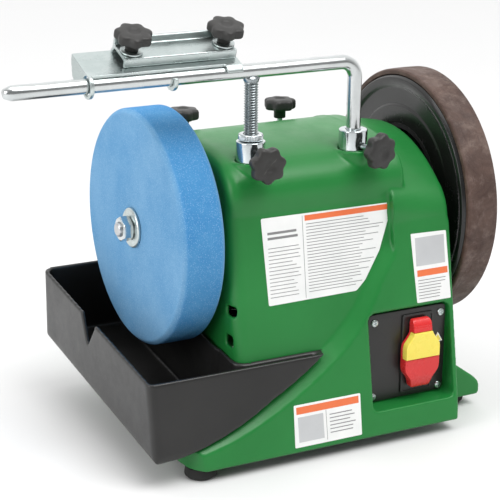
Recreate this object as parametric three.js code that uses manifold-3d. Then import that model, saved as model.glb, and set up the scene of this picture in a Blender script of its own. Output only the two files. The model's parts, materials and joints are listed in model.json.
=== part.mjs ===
// Wet grinding sharpener: grindstone and leather honing wheel on one slow spindle, water tray,
// moulded housing with a friction drive, height-adjustable tool support and a clamping jig.
// Millimetres, +Z up, +X along the spindle towards the leather wheel, -Y the operator's side.

import * as THREE from 'three';
import { mergeVertices } from 'three/addons/utils/BufferGeometryUtils.js';
import Module from 'manifold-3d';

const wasm = await Module();
wasm.setup();

// ---------------------------------------------------------------- driving dimensions
const CENTRE_X = 85;              // middle of the whole machine, measured from the stone's outer face
const CENTRE_Y = -3.07;           // middle of the whole machine, measured from the spindle axis
const SPINDLE_HEIGHT = 182;       // spindle axis above the table

const STONE_RADIUS = 100;
const STONE_WIDTH = 38;
const STONE_CHAMFER = 3.5;
const SHAFT_RADIUS = 6;
const SHAFT_END_LEFT = -15;
const SHAFT_END_RIGHT = 304;

const LEATHER_RADIUS = 111;
const LEATHER_INNER = 106;
const LEATHER_FACE = 263;
const LEATHER_WIDTH = 30;
const DRUM_BACK = 260.5;
const RING_OUTER = 62;            // rubber ring inside the drum, driven by the motor's roller
const RING_INNER = 58;
const ROLLER_RADIUS = 4.45;
const ROLLER_OFFSET = RING_INNER - ROLLER_RADIUS - 0.3;

const BASE_BOTTOM = -172;
const FRONT_Y = -130;             // proud front face at the bottom edge
const FRONT_LEAN = 0.17;          // how far the front leans back per millimetre of height
const FRONT_ANGLE = Math.atan(FRONT_LEAN);
const COLUMN_LEAN = 0.139;        // the column face stands a little steeper than the proud face
const BAND_DEPTH = 9;             // sloping band between the column face and the proud face
const BAND_WIDTH = 10.5;
const COLUMN_LEFT = 45;
const COLUMN_RIGHT = 210;
const FLANK_RIGHT = 250;
const BASE_LEFT = -6;
const WALL = 3.5;

const TRAY_SLOPE = 0.128;
const TRAY_FRONT_RIM = -94;
const TRAY_DEPTH = 65;
const TRAY_LEFT = -39;
const TRAY_BACK = 116;
const TRAY_WALL = 3;

const LEG_Y = -72;
const LEG_LEFT = 73;
const LEG_RIGHT = 169;
const LEG_BOTTOM = 12;
const BAR_RADIUS = 6;
const BAR_HEIGHT = 140;
const BAR_TIP = -134;
const BEND_RADIUS = 13;
const COLLAR_RADIUS = 12;
const COLLAR_TOP = 83;
const COLLAR_BOTTOM = 36;
const FRONT_KNOB_Z = 70;
const LEFT_KNOB_SWING = -0.06;    // the front knobs stand slightly askew about their legs, radians
const RIGHT_KNOB_SWING = 0.2;
const KNOB_REACH = 20.5;          // from a leg's axis to the underside of its knob

const SLEEVE_Y = 98;
const SLEEVE_Z = 32;
const REAR_KNOB_Y = 56;
const REAR_KNOB_Z = 66;
const REAR_BOSS_TOP = 59;

const JIG_TILT = 0.36;            // lean of the jig plates about the bar, radians
const JIG_LEFT = -68;
const JIG_RIGHT = 62;
const JIG_KNOB_LEFT = -26.5;
const JIG_KNOB_RIGHT = 52.5;
const JIG_KNOB_BACK = 16;

const PLATE_Y = -109.5;           // upright face of the switch plate, sunk into the leaning front
const PLATE_DEPTH = 2.4;
const SCREW_LEFT = 172.2;         // centres of the switch plate's screws
const SCREW_RIGHT = 238.4;
const SCREW_BOTTOM = -144.2;
const SCREW_TOP = -77.3;
const PADDLE_X = 215;
const PADDLE_BACK = -111.6;
const PADDLE_FRONT = -120.4;
const KEY_BOTTOM = -112;          // the yellow key fills this stretch of the paddle
const KEY_TOP = -89;

const GAP = 0.35;

// ---------------------------------------------------------------- materials
function plastic(colour, roughness) {
  return new THREE.MeshStandardMaterial({ color: colour, roughness, metalness: 0 });
}
function metal(colour, roughness) {
  return new THREE.MeshStandardMaterial({ color: colour, roughness, metalness: 1 });
}
const GREEN = plastic(0x1f8a43, 0.4);
const BLACK = plastic(0x18191b, 0.45);
const KNOB = plastic(0x2c2c2e, 0.6);
const RUBBER = plastic(0x141414, 0.85);
const STONE = plastic(0x4f93d8, 0.95);
const HIDE = plastic(0x4a3029, 0.7);
const RED = plastic(0xc8231f, 0.4);
const YELLOW = plastic(0xf3d21b, 0.4);
const ZINC = metal(0xc9ced3, 0.3);
const STEEL = metal(0x9a9ea2, 0.4);
const BRONZE = metal(0xa9793f, 0.45);
const ALUMINIUM = metal(0xb4b8bc, 0.5);

// ---------------------------------------------------------------- solid helpers
function toSolid(geometry) {
  const bare = geometry.clone();
  bare.deleteAttribute('normal');
  bare.deleteAttribute('uv');
  const merged = mergeVertices(bare, 1e-3);
  return new wasm.Manifold(new wasm.Mesh({
    numProp: 3,
    vertProperties: new Float32Array(merged.attributes.position.array),
    triVerts: new Uint32Array(merged.index.array),
  }));
}

function toGeometry(solid) {
  const mesh = solid.getMesh();
  const geometry = new THREE.BufferGeometry();
  geometry.setAttribute('position', new THREE.BufferAttribute(new Float32Array(mesh.vertProperties), 3));
  geometry.setIndex(new THREE.BufferAttribute(new Uint32Array(mesh.triVerts), 1));
  geometry.computeVertexNormals();
  return geometry;
}

function join(...geometries) {
  return toGeometry(geometries.map(toSolid).reduce((a, b) => a.add(b)));
}
function cut(geometry, ...tools) {
  return toGeometry(tools.map(toSolid).reduce((a, b) => a.subtract(b), toSolid(geometry)));
}
function common(a, b) {
  return toGeometry(toSolid(a).intersect(toSolid(b)));
}

function box(x0, x1, y0, y1, z0, z1) {
  const geometry = new THREE.BoxGeometry(x1 - x0, y1 - y0, z1 - z0);
  return geometry.translate((x0 + x1) / 2, (y0 + y1) / 2, (z0 + z1) / 2);
}
function cylinderX(radius, x0, x1, y, z, sides = 20) {
  const geometry = new THREE.CylinderGeometry(radius, radius, x1 - x0, sides);
  return geometry.rotateZ(Math.PI / 2).translate((x0 + x1) / 2, y, z);
}
function cylinderY(radius, y0, y1, x, z, sides = 20) {
  const geometry = new THREE.CylinderGeometry(radius, radius, y1 - y0, sides);
  return geometry.translate(x, (y0 + y1) / 2, z);
}
function cylinderZ(radius, z0, z1, x, y, sides = 20) {
  const geometry = new THREE.CylinderGeometry(radius, radius, z1 - z0, sides);
  return geometry.rotateX(Math.PI / 2).translate(x, y, (z0 + z1) / 2);
}
// Profile of (radius, x) pairs turned about the spindle axis.
function turnedX(pairs, sides = 48) {
  const profile = pairs.map(([radius, x]) => new THREE.Vector2(radius, x));
  profile.push(profile[0].clone());
  return new THREE.LatheGeometry(profile, sides).rotateZ(-Math.PI / 2);
}
// Profile of (radius, z) pairs turned about a vertical axis.
function turnedZ(pairs, sides = 20) {
  const profile = pairs.map(([radius, z]) => new THREE.Vector2(radius, z));
  profile.push(profile[0].clone());
  return new THREE.LatheGeometry(profile, sides).rotateX(Math.PI / 2);
}
function outline(points) {
  return new THREE.Shape(points.map(([a, b]) => new THREE.Vector2(a, b)));
}
// Section drawn in (y, z), extruded from x0 to x1. An edge round is bevelled inside that length.
function extrudeX(shape, x0, x1, round = 0, segments = 3) {
  const geometry = new THREE.ExtrudeGeometry(shape, {
    depth: x1 - x0 - 2 * round, steps: 1, curveSegments: 5, bevelEnabled: round > 0,
    bevelThickness: round, bevelSize: round, bevelOffset: -round, bevelSegments: segments,
  });
  const axes = new THREE.Matrix4().set(0, 0, 1, x0 + round, 1, 0, 0, 0, 0, 1, 0, 0, 0, 0, 0, 1);
  return geometry.applyMatrix4(axes);
}
// Outline drawn in (x, y), extruded from z0 to z1.
function extrudeZ(shape, z0, z1, curveSegments = 6) {
  const geometry = new THREE.ExtrudeGeometry(shape, {
    depth: z1 - z0, steps: 1, curveSegments, bevelEnabled: false,
  });
  return geometry.translate(0, 0, z0);
}
// Outline drawn in (x, z), extruded between two values of y.
function extrudeY(shape, yFront, yBack, curveSegments = 3) {
  const geometry = new THREE.ExtrudeGeometry(shape, {
    depth: yBack - yFront, steps: 1, curveSegments, bevelEnabled: false,
  });
  return geometry.rotateX(Math.PI / 2).translate(0, yBack, 0);
}
// Outline drawn in (x, height) on the leaning front plane. Depth runs into the machine.
function extrudeFront(shape, out, depth, bevel = 0, bevelSize = bevel, curveSegments = 6) {
  const geometry = new THREE.ExtrudeGeometry(shape, {
    depth: depth - bevel, steps: 1, curveSegments, bevelEnabled: bevel > 0,
    bevelThickness: bevel, bevelSize, bevelOffset: 0, bevelSegments: 1,
  });
  geometry.translate(0, -BASE_BOTTOM, out - depth);
  geometry.rotateX(Math.PI / 2 - FRONT_ANGLE);
  return geometry.translate(0, FRONT_Y, BASE_BOTTOM);
}
function roundedRectangle(x0, x1, y0, y1, r00, r10 = r00, r11 = r00, r01 = r00) {
  const shape = new THREE.Shape();
  shape.moveTo(x0 + r00, y0);
  shape.lineTo(x1 - r10, y0);
  shape.absarc(x1 - r10, y0 + r10, r10, -Math.PI / 2, 0);
  shape.lineTo(x1, y1 - r11);
  shape.absarc(x1 - r11, y1 - r11, r11, 0, Math.PI / 2);
  shape.lineTo(x0 + r01, y1);
  shape.absarc(x0 + r01, y1 - r01, r01, Math.PI / 2, Math.PI);
  shape.lineTo(x0, y0 + r00);
  shape.absarc(x0 + r00, y0 + r00, r00, Math.PI, Math.PI * 1.5);
  return shape;
}

const machine = new THREE.Group();
machine.position.set(-CENTRE_X, -CENTRE_Y, SPINDLE_HEIGHT);

function add(name, geometry, material, x = 0, y = 0, z = 0, parent = machine) {
  const mesh = new THREE.Mesh(geometry, material);
  mesh.name = name;
  mesh.position.set(x, y, z);
  parent.add(mesh);
  return mesh;
}

// ---------------------------------------------------------------- housing
function frontAt(z, recess) {
  return FRONT_Y + recess + FRONT_LEAN * (z - BASE_BOTTOM);
}
function columnAt(z) {
  return -90 + COLUMN_LEAN * (z - 27);
}

// Side section of the column and its barrel top, in (y, z). An inset gives the inner wall.
function columnSection(inset) {
  const shape = new THREE.Shape();
  shape.moveTo(columnAt(-200) + inset, -200);
  shape.lineTo(columnAt(26) + inset, 26);
  shape.lineTo(-92 + inset, 34);
  shape.quadraticCurveTo(-93 + inset, 56 - inset / 2, -71 + inset / 2, 66 - inset);
  shape.quadraticCurveTo(-50, 74 - inset, 0, 74.5 - inset);
  shape.quadraticCurveTo(30 - inset / 2, 74.5 - inset, 46 - inset / 2, 60 - inset);
  shape.lineTo(84, 48 - inset);
  shape.quadraticCurveTo(96 - inset, 46 - inset, 98 - inset, 32);
  shape.lineTo(120 - inset, -200);
  return shape;
}

// Side section of the lower shoulder beside the leather wheel.
function shoulderSection(inset) {
  const shape = new THREE.Shape();
  shape.moveTo(frontAt(-200, 0) + inset, -200);
  shape.lineTo(frontAt(5, 0) + inset, 5);
  shape.quadraticCurveTo(-98 + inset, 22, -83 + inset * 0.7, 33 - inset * 0.7);
  shape.quadraticCurveTo(-45, 66 - inset, 0, 66 - inset);
  shape.quadraticCurveTo(45, 66 - inset, 83 - inset * 0.7, 33 - inset * 0.7);
  shape.quadraticCurveTo(98 - inset, 22, 104 - inset, 5);
  shape.lineTo(124 - inset, -200);
  return shape;
}

// The shoulder swells towards the barrel: its section grows from the flank to the inner end.
function shoulderBody(inset, x0, x1) {
  const body = extrudeX(shoulderSection(inset), x0, x1);
  const position = body.attributes.position;
  for (let i = 0; i < position.count; i += 1) {
    const rise = Math.max(0, position.getZ(i) - 5);
    if (position.getX(i) < (x0 + x1) / 2) {
      position.setY(i, position.getY(i) * (1 + 0.05 * Math.min(1, rise / 20)));
      position.setZ(i, position.getZ(i) + 0.15 * rise);
    }
  }
  return body;
}

// Outline of the proud front face; grow widens it evenly, with a taper towards the left tip.
function proudOutline(grow) {
  const shape = new THREE.Shape();
  shape.moveTo(BASE_LEFT - 30, -220);
  shape.lineTo(BASE_LEFT - 30, -161 + grow * 0.3);
  shape.lineTo(-20, -160 + grow * 0.3);
  shape.quadraticCurveTo(28, -157 + grow * 0.7, 75 - grow * 0.45, -133 + grow * 0.9);
  shape.quadraticCurveTo(106 - grow * 0.5, -118 + grow * 0.86, 134 - grow * 0.65, -96.5 + grow * 0.76);
  shape.quadraticCurveTo(163 - grow * 0.8, -74 + grow * 0.6, 179 - grow * 0.85, -41 + grow * 0.5);
  shape.quadraticCurveTo(200 - grow * 0.6, -6 + grow, 216, -1 + grow);
  shape.lineTo(300, 12 + grow);
  shape.lineTo(300, -220);
  return shape;
}

function planPrism(inset) {
  const plan = new THREE.Shape();
  plan.moveTo(BASE_LEFT + 16 + inset, FRONT_Y - 2);
  plan.lineTo(FLANK_RIGHT - 8 - inset, FRONT_Y - 2);
  plan.quadraticCurveTo(FLANK_RIGHT - inset, FRONT_Y - 2, FLANK_RIGHT - inset, FRONT_Y + 8);
  plan.lineTo(FLANK_RIGHT - inset, 114 - inset);
  plan.quadraticCurveTo(FLANK_RIGHT - inset, 122 - inset, FLANK_RIGHT - 8 - inset, 122 - inset);
  plan.lineTo(28 + inset, 122 - inset);
  plan.lineTo(28 + inset, -30);
  plan.lineTo(BASE_LEFT + inset, -95);
  plan.quadraticCurveTo(BASE_LEFT - 2 + inset, FRONT_Y + 6, BASE_LEFT + 16 + inset, FRONT_Y - 2);
  return extrudeZ(plan, -240, 120, 4);
}

function trayFloor(y, drop) {
  return TRAY_FRONT_RIM - TRAY_DEPTH - drop + TRAY_SLOPE * (y - frontAt(TRAY_FRONT_RIM, 0));
}

function outrigger(yFront) {
  const side = outline([
    [FLANK_RIGHT - 12, -122], [FLANK_RIGHT + 2, -125], [292, -154], [298, -160], [298, BASE_BOTTOM],
    [FLANK_RIGHT - 12, BASE_BOTTOM],
  ]);
  const geometry = new THREE.ExtrudeGeometry(side, { depth: 44, steps: 1, bevelEnabled: false });
  return geometry.rotateX(Math.PI / 2).translate(0, yFront + 44, 0);
}

function housingOuter() {
  const leftHalf = extrudeX(columnSection(0), COLUMN_LEFT, 150, 10, 2);
  const rightHalf = extrudeX(columnSection(0), 128, COLUMN_RIGHT, 5, 1);
  const shoulder = shoulderBody(0, COLUMN_RIGHT - 16, FLANK_RIGHT);
  const proud = extrudeFront(proudOutline(0), 0, 30, BAND_DEPTH, BAND_WIDTH);
  const platform = extrudeX(outline([
    [frontAt(-200, 4), -200], [frontAt(-159, 4), trayFloor(frontAt(-159, 4), 1.2)],
    [118, trayFloor(118, 1.2)], [118, -200],
  ]), BASE_LEFT, COLUMN_LEFT + 20);
  const body = join(leftHalf, rightHalf, shoulder, proud, platform);
  const above = box(-100, 400, -200, 200, BASE_BOTTOM, 200);
  const trimmed = common(common(body, planPrism(0)), above);
  return join(trimmed, outrigger(-89), outrigger(45));
}

function housingCavity() {
  const column = extrudeX(columnSection(WALL), COLUMN_LEFT + WALL, COLUMN_RIGHT - WALL, 7, 1);
  const shoulder = shoulderBody(WALL + 0.5, COLUMN_RIGHT - 16 + WALL, FLANK_RIGHT - WALL);
  const platform = extrudeX(outline([
    [frontAt(-200, 6), -200], [frontAt(-166, 6), -166], [112, trayFloor(112, 6)], [112, -200],
  ]), BASE_LEFT - 20, COLUMN_LEFT + 20);
  const proud = extrudeFront(proudOutline(-6), -WALL, 40);
  return common(join(column, shoulder, platform, proud), planPrism(WALL));
}

function addHousing() {
  const bosses = join(
    cylinderZ(COLLAR_RADIUS + 3.2, 30, 67, LEG_LEFT, LEG_Y),
    cylinderZ(COLLAR_RADIUS + 3.2, 30, 67, LEG_RIGHT, LEG_Y),
  );
  const rearBosses = join(
    cylinderY(13.5, 33, 94, LEG_LEFT, SLEEVE_Z), cylinderY(13.5, 33, 94, LEG_RIGHT, SLEEVE_Z),
    cylinderZ(8, SLEEVE_Z, REAR_BOSS_TOP, LEG_LEFT, REAR_KNOB_Y, 16),
    cylinderZ(8, SLEEVE_Z, REAR_BOSS_TOP, LEG_RIGHT, REAR_KNOB_Y, 16),
  );
  const hubs = join(
    cylinderX(15, COLUMN_LEFT - 1.5, COLUMN_LEFT + 16, 0, 0),
    cylinderX(15, FLANK_RIGHT - 16, FLANK_RIGHT + 1.5, 0, 0),
  );
  const outer = housingOuter();
  const pocketWalls = common(box(160.5, 249, -135, PLATE_Y + 6.5, -154.5, -65), outer);
  let shell = join(cut(outer, housingCavity()), pocketWalls);
  shell = join(cut(shell, trayBody(-0.6, 0)), bosses, rearBosses, hubs);
  shell = cut(
    shell,
    cylinderX(11 + GAP, 30, 280, 0, 0),
    cylinderZ(COLLAR_RADIUS + GAP, COLLAR_BOTTOM - 10, 90, LEG_LEFT, LEG_Y),
    cylinderZ(COLLAR_RADIUS + GAP, COLLAR_BOTTOM - 10, 90, LEG_RIGHT, LEG_Y),
    cylinderY(10 + GAP, 35, 120, LEG_LEFT, SLEEVE_Z),
    cylinderY(10 + GAP, 35, 120, LEG_RIGHT, SLEEVE_Z),
    cylinderZ(3.2, SLEEVE_Z, 90, LEG_LEFT, REAR_KNOB_Y, 12),
    cylinderZ(3.2, SLEEVE_Z, 90, LEG_RIGHT, REAR_KNOB_Y, 12),
    cylinderX(9, 230, 280, 0, -ROLLER_OFFSET),
    cylinderY(8 + GAP, 90, 118, 150, -140, 16),
    cylinderY(12, 117, 140, 150, -140, 16),
    box(40, 50, -97, -85, -57, -48),
    box(40, 50, -96, -84, -83, -74),
    extrudeY(roundedRectangle(164.5, 245.5, -151, -68.5, 6), -140, PLATE_Y + PLATE_DEPTH + GAP),
    extrudeY(roundedRectangle(PADDLE_X - 14, PADDLE_X + 14, -143, -77, 2), -140, PLATE_Y + 20),
  );
  add('housing', shell, GREEN);
}

function addBottom() {
  const plan = roundedRectangle(36, FLANK_RIGHT - 6, FRONT_Y + 16, 110, 12);
  let plate = extrudeZ(plan, BASE_BOTTOM, BASE_BOTTOM + 1.5);
  plate = cut(plate, box(100, 112, -40, 40, -180, -160), box(130, 142, -40, 40, -180, -160));
  add('bottom_plate', plate, ZINC);
  const feet = [
    ['foot_front_left', 9, -111], ['foot_rear_left', 48, 98],
    ['foot_front_right', 280, -67], ['foot_rear_right', 280, 67],
  ];
  for (const [name, x, y] of feet) {
    const foot = turnedZ([
      [0, -SPINDLE_HEIGHT], [12, -SPINDLE_HEIGHT], [13.5, -SPINDLE_HEIGHT + 2],
      [12.5, BASE_BOTTOM - GAP], [0, BASE_BOTTOM - GAP],
    ], 20);
    add(name, foot, RUBBER, x, y, 0);
  }
}

// ---------------------------------------------------------------- collars and sleeves
function addCollar(name, x, swing) {
  const tube = turnedZ([
    [BAR_RADIUS + GAP, COLLAR_BOTTOM], [COLLAR_RADIUS, COLLAR_BOTTOM], [COLLAR_RADIUS, COLLAR_TOP - 1],
    [COLLAR_RADIUS - 1, COLLAR_TOP], [BAR_RADIUS + GAP, COLLAR_TOP],
  ]);
  const hole = cylinderY(3.2, -20, 0, 0, FRONT_KNOB_Z, 12).rotateZ(swing);
  add(name, cut(tube, hole), ZINC, x, LEG_Y, 0);
}

function addRearSleeve(name, x) {
  const tube = turnedZ([
    [BAR_RADIUS + GAP, 0], [10, 0], [10, SLEEVE_Y - 37], [9, SLEEVE_Y - 36],
    [BAR_RADIUS + GAP, SLEEVE_Y - 36],
  ], 20).rotateX(-Math.PI / 2);
  const hole = cylinderZ(3.2, 4, 20, 0, REAR_KNOB_Y - 36, 12);
  add(name, cut(tube, hole), ZINC, x, 36, SLEEVE_Z);
}

// Lobed clamping knob about +Z with its hub below; the underside of the hub is at z = 0.
function lobedKnob(radius, lobes) {
  const shape = new THREE.Shape();
  const step = (Math.PI * 2) / lobes;
  for (let i = 0; i < lobes; i += 1) {
    const points = [[-0.25, 1], [0.25, 1], [0.5, 0.84]];
    for (const [turn, reach] of points) {
      const angle = (i + turn) * step;
      const x = Math.cos(angle) * radius * reach;
      const y = Math.sin(angle) * radius * reach;
      if (i === 0 && turn < -0.2) {
        shape.moveTo(x, y);
      } else {
        shape.lineTo(x, y);
      }
    }
  }
  const head = new THREE.ExtrudeGeometry(shape, {
    depth: 7, steps: 1, bevelEnabled: true, bevelThickness: 2, bevelSize: 2, bevelOffset: -2,
    bevelSegments: 1,
  }).translate(0, 0, 9);
  return join(head, cylinderZ(5.5, 0, 10, 0, 0, 16));
}

function addKnobSet(name, length, radius, x, y, z, tilt, swing = 0) {
  const axis = new THREE.Group();
  axis.position.set(x, y, z);
  axis.rotation.set(tilt, 0, swing, 'ZXY');
  machine.add(axis);
  add(`${name}_knob`, cut(lobedKnob(radius, 7), cylinderZ(2.5 + GAP, -5, 6, 0, 0, 12)), KNOB, 0, 0, 0, axis);
  add(`${name}_stud`, cylinderZ(2.5, -length, 5.6, 0, 0, 12), ZINC, 0, 0, 0, axis);
}

// ---------------------------------------------------------------- spindle
function addSpindle() {
  const shaft = turnedX([
    [0, SHAFT_END_LEFT], [5, SHAFT_END_LEFT], [SHAFT_RADIUS, SHAFT_END_LEFT + 1],
    [SHAFT_RADIUS, SHAFT_END_RIGHT - 1], [5, SHAFT_END_RIGHT], [0, SHAFT_END_RIGHT],
  ], 24);
  add('spindle_shaft', shaft, STEEL);
  const c = STONE_CHAMFER;
  const bore = SHAFT_RADIUS + GAP;
  add('grindstone', turnedX([
    [bore, 0], [STONE_RADIUS - c, 0], [STONE_RADIUS, c], [STONE_RADIUS, STONE_WIDTH - c],
    [STONE_RADIUS - c, STONE_WIDTH], [bore, STONE_WIDTH],
  ], 48), STONE);
  add('stone_washer', turnedX([[bore, -3], [16, -3], [17, -2], [17, -GAP], [bore, -GAP]], 24), ZINC);
  add('stone_flange', turnedX([
    [bore, STONE_WIDTH + GAP], [22, STONE_WIDTH + GAP], [22, STONE_WIDTH + 2.5], [bore, STONE_WIDTH + 2.5],
  ], 24), STEEL);
  const nut = new THREE.CylinderGeometry(11, 11, 9, 6).rotateZ(Math.PI / 2).translate(-7.8, 0, 0);
  add('stone_nut', cut(nut, cylinderX(bore, -20, 0, 0, 0)), ZINC);
  for (const [name, x] of [['bushing_left', COLUMN_LEFT - 1], ['bushing_right', FLANK_RIGHT - 16]]) {
    add(name, turnedX([[bore, x], [11, x], [11, x + 16], [bore, x + 16]], 24), BRONZE);
  }
}

function addHoningWheel() {
  const right = LEATHER_FACE + LEATHER_WIDTH;
  const bore = SHAFT_RADIUS + GAP;
  add('leather_tyre', turnedX([
    [LEATHER_INNER, LEATHER_FACE], [LEATHER_RADIUS - 1, LEATHER_FACE], [LEATHER_RADIUS, LEATHER_FACE + 1],
    [LEATHER_RADIUS, right - 1], [LEATHER_RADIUS - 1, right], [LEATHER_INNER, right],
  ], 48), HIDE);
  const rim = LEATHER_INNER - GAP;
  add('drive_drum', turnedX([
    [bore, DRUM_BACK + 3], [16, DRUM_BACK + 3], [16, DRUM_BACK + 20],
    [RING_OUTER + GAP, DRUM_BACK + 20], [RING_OUTER + GAP, DRUM_BACK + 2], [98, DRUM_BACK + 2],
    [100, DRUM_BACK], [103.5, DRUM_BACK], [rim, LEATHER_FACE + GAP],
    [rim, right - 1], [100, right - 1], [100, DRUM_BACK + 24], [20, DRUM_BACK + 24], [20, right - 3],
    [bore, right - 3],
  ], 48), BLACK);
  add('drive_ring', turnedX([
    [RING_INNER, DRUM_BACK + 3], [RING_OUTER, DRUM_BACK + 3], [RING_OUTER, DRUM_BACK + 16],
    [RING_INNER, DRUM_BACK + 16],
  ], 48), RUBBER);
  add('hub_washer', turnedX([[bore, right - 2.5], [17, right - 2.5], [17, right], [bore, right]], 24), ZINC);
  const nut = new THREE.CylinderGeometry(11, 11, 9, 6).rotateZ(Math.PI / 2).translate(right + 5, 0, 0);
  add('hub_nut', cut(nut, cylinderX(bore, right - 5, right + 20, 0, 0)), ZINC);
}

// ---------------------------------------------------------------- motor
function addMotor() {
  const z = -ROLLER_OFFSET;
  const can = turnedX([
    [9, 112], [38, 112], [44, 118], [44, 218], [38, 224], [9, 224], [9, 216], [24, 216], [24, 120], [9, 120],
  ], 24).translate(0, 0, z);
  add('motor_can', can, ALUMINIUM);
  const plate = cut(box(226, 230, -48, 48, z - 58, z + 42), cylinderX(12, 220, 240, 0, z, 20));
  const foot = box(190, 230, -48, 48, z - 61, z - 57);
  add('motor_bracket', join(plate, foot), ZINC);
  add('rotor_shaft', turnedX([
    [0, 105], [4, 105], [4, 124], [22, 124], [22, 212], [4, 212], [4, 262], [3, 262], [3, 278], [0, 278],
  ], 16).translate(0, 0, z), STEEL);
  add('drive_roller', turnedX([
    [3 + GAP, 263], [ROLLER_RADIUS, 263], [ROLLER_RADIUS, 277], [3 + GAP, 277],
  ], 16).translate(0, 0, z), STEEL);
  add('start_capacitor', cylinderX(17, 62, 104, 55, -120, 24), ALUMINIUM);
}

// ---------------------------------------------------------------- switch
function addSwitch() {
  const outer = roundedRectangle(166, 243.8, -149, -70, 5);
  const hole = roundedRectangle(PADDLE_X - 13.5, PADDLE_X + 13.5, -142.5, -77.5, 2);
  outer.holes.push(new THREE.Path(hole.getPoints(2)));
  let plate = extrudeY(outer, PLATE_Y, PLATE_Y + PLATE_DEPTH);
  const corners = [
    [SCREW_LEFT, SCREW_TOP], [SCREW_RIGHT, SCREW_TOP],
    [SCREW_RIGHT, SCREW_BOTTOM], [SCREW_LEFT, SCREW_BOTTOM],
  ];
  corners.forEach(([x, z], i) => {
    plate = cut(plate, cylinderY(1.9, PLATE_Y - 2, PLATE_Y + 5, x, z, 10));
    const head = cylinderY(3.2, PLATE_Y - GAP - 1.6, PLATE_Y - GAP, x, z, 12);
    const shank = cylinderY(1.5, PLATE_Y - GAP - 1, PLATE_Y + PLATE_DEPTH - GAP, x, z, 12);
    add(`plate_screw_${i + 1}`, join(head, shank), ZINC);
  });
  add('switch_plate', plate, BLACK);
  const flange = roundedRectangle(PADDLE_X - 15.5, PADDLE_X + 15.5, -145.5, -74.5, 2);
  const block = roundedRectangle(PADDLE_X - 13, PADDLE_X + 13, -142, -78, 2);
  add('switch_body', join(
    extrudeY(flange, PLATE_Y - GAP - 1.4, PLATE_Y - GAP), extrudeY(block, PLATE_Y - GAP - 1, PLATE_Y + 34),
  ), BLACK);
}

// Paddle outline in (x, z): a narrow head, wide shoulders and a stepped tail.
function paddleOutline(shrink) {
  const x = PADDLE_X;
  const k = shrink;
  return outline([
    [x - 9, -77.5], [x + 9, -77.5], [x + 9, -90], [x + 17 - k, -100], [x + 17 - k, -123], [x + 11, -131],
    [x + 9, -139.5], [x - 9, -139.5], [x - 11, -131], [x - 17 + k, -123], [x - 17 + k, -100], [x - 9, -90],
  ]);
}

function addPaddle() {
  const x = PADDLE_X;
  const seatY = PADDLE_BACK - 2.4;
  const seat = roundedRectangle(x - 30, x + 30, KEY_BOTTOM - 0.4, KEY_TOP + 0.4, 1);
  const slab = extrudeY(paddleOutline(0), PADDLE_FRONT, PADDLE_BACK);
  add('switch_paddle', cut(slab, extrudeY(seat, -130, seatY)), RED);
  const band = roundedRectangle(x - 30, x + 30, KEY_BOTTOM, KEY_TOP, 1);
  const block = extrudeY(paddleOutline(0.3), PADDLE_FRONT - 0.9, seatY - GAP);
  add('safety_key', common(block, extrudeY(band, -130, -100)), YELLOW);
}

function addGland() {
  const gland = turnedZ([[3.5, 0], [8, 0], [8, 12], [11, 12], [11, 16], [7, 24], [3.5, 24]], 20);
  add('cord_gland', gland.rotateX(-Math.PI / 2), BLACK, 150, 105, -140);
}

// ---------------------------------------------------------------- water tray
function trayPlan(inset) {
  const i = inset;
  const shape = new THREE.Shape();
  shape.moveTo(TRAY_LEFT + i, -160);
  shape.lineTo(200, -160);
  shape.lineTo(200, -90);
  shape.lineTo(COLUMN_LEFT + 15 - i, -90);
  shape.quadraticCurveTo(COLUMN_LEFT - 0.8 - i, -90, COLUMN_LEFT - 3 - i, -70);
  shape.lineTo(COLUMN_LEFT - 3 - i, TRAY_BACK - i);
  shape.lineTo(TRAY_LEFT + 10 + i, TRAY_BACK - i);
  shape.quadraticCurveTo(TRAY_LEFT + i, TRAY_BACK - i, TRAY_LEFT + i, TRAY_BACK - 10 - i);
  return shape;
}

function trayEnvelope(inset) {
  const front = (z) => frontAt(z, inset);
  const rimBack = TRAY_FRONT_RIM + TRAY_SLOPE * (TRAY_BACK - front(TRAY_FRONT_RIM));
  const lift = inset > 0 ? 30 : 0;
  const section = outline([
    [front(-153), -153], [front(-157), -157 + inset], [front(-159) + 6, trayFloor(front(-159) + 6, -inset)],
    [200, trayFloor(200, -inset)], [200, rimBack + TRAY_SLOPE * 84 + lift],
    [front(TRAY_FRONT_RIM + lift), TRAY_FRONT_RIM + lift],
  ]);
  return extrudeX(section, -80, 220);
}

// A geometry whose points are moved by a rule that maps (x, y, z) to new coordinates.
function reshaped(geometry, rule) {
  const position = geometry.attributes.position;
  for (let i = 0; i < position.count; i += 1) {
    position.setXYZ(i, ...rule(position.getX(i), position.getY(i), position.getZ(i)));
  }
  return geometry;
}

// Corner blocks that round the tray's upright front corner and its lower left edge.
function trayCorners(inset) {
  const left = TRAY_LEFT + inset;
  const round = (radius) => {
    const shape = new THREE.Shape();
    shape.moveTo(left + radius, 0);
    shape.lineTo(250, 0);
    shape.lineTo(250, 300);
    shape.lineTo(left, 300);
    shape.lineTo(left, radius);
    shape.quadraticCurveTo(left, 0, left + radius, 0);
    return shape;
  };
  const upright = reshaped(
    extrudeZ(round(7 - inset), -220, 20, 4), (x, y, z) => [x, y + frontAt(z, inset), z],
  );
  const lower = reshaped(
    extrudeY(round(9 - inset), -200, 200, 4), (x, y, z) => [x, y, z + trayFloor(y, -inset)],
  );
  return common(upright, lower);
}

function trayBody(inset, clear) {
  const column = extrudeX(columnSection(-clear), COLUMN_LEFT - clear, 150, 10, 2);
  const band = extrudeFront(proudOutline(BAND_WIDTH + clear), 6, 60);
  const envelope = common(extrudeZ(trayPlan(inset), -220, 20), trayEnvelope(inset));
  return cut(common(envelope, trayCorners(inset)), column, band);
}

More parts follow.
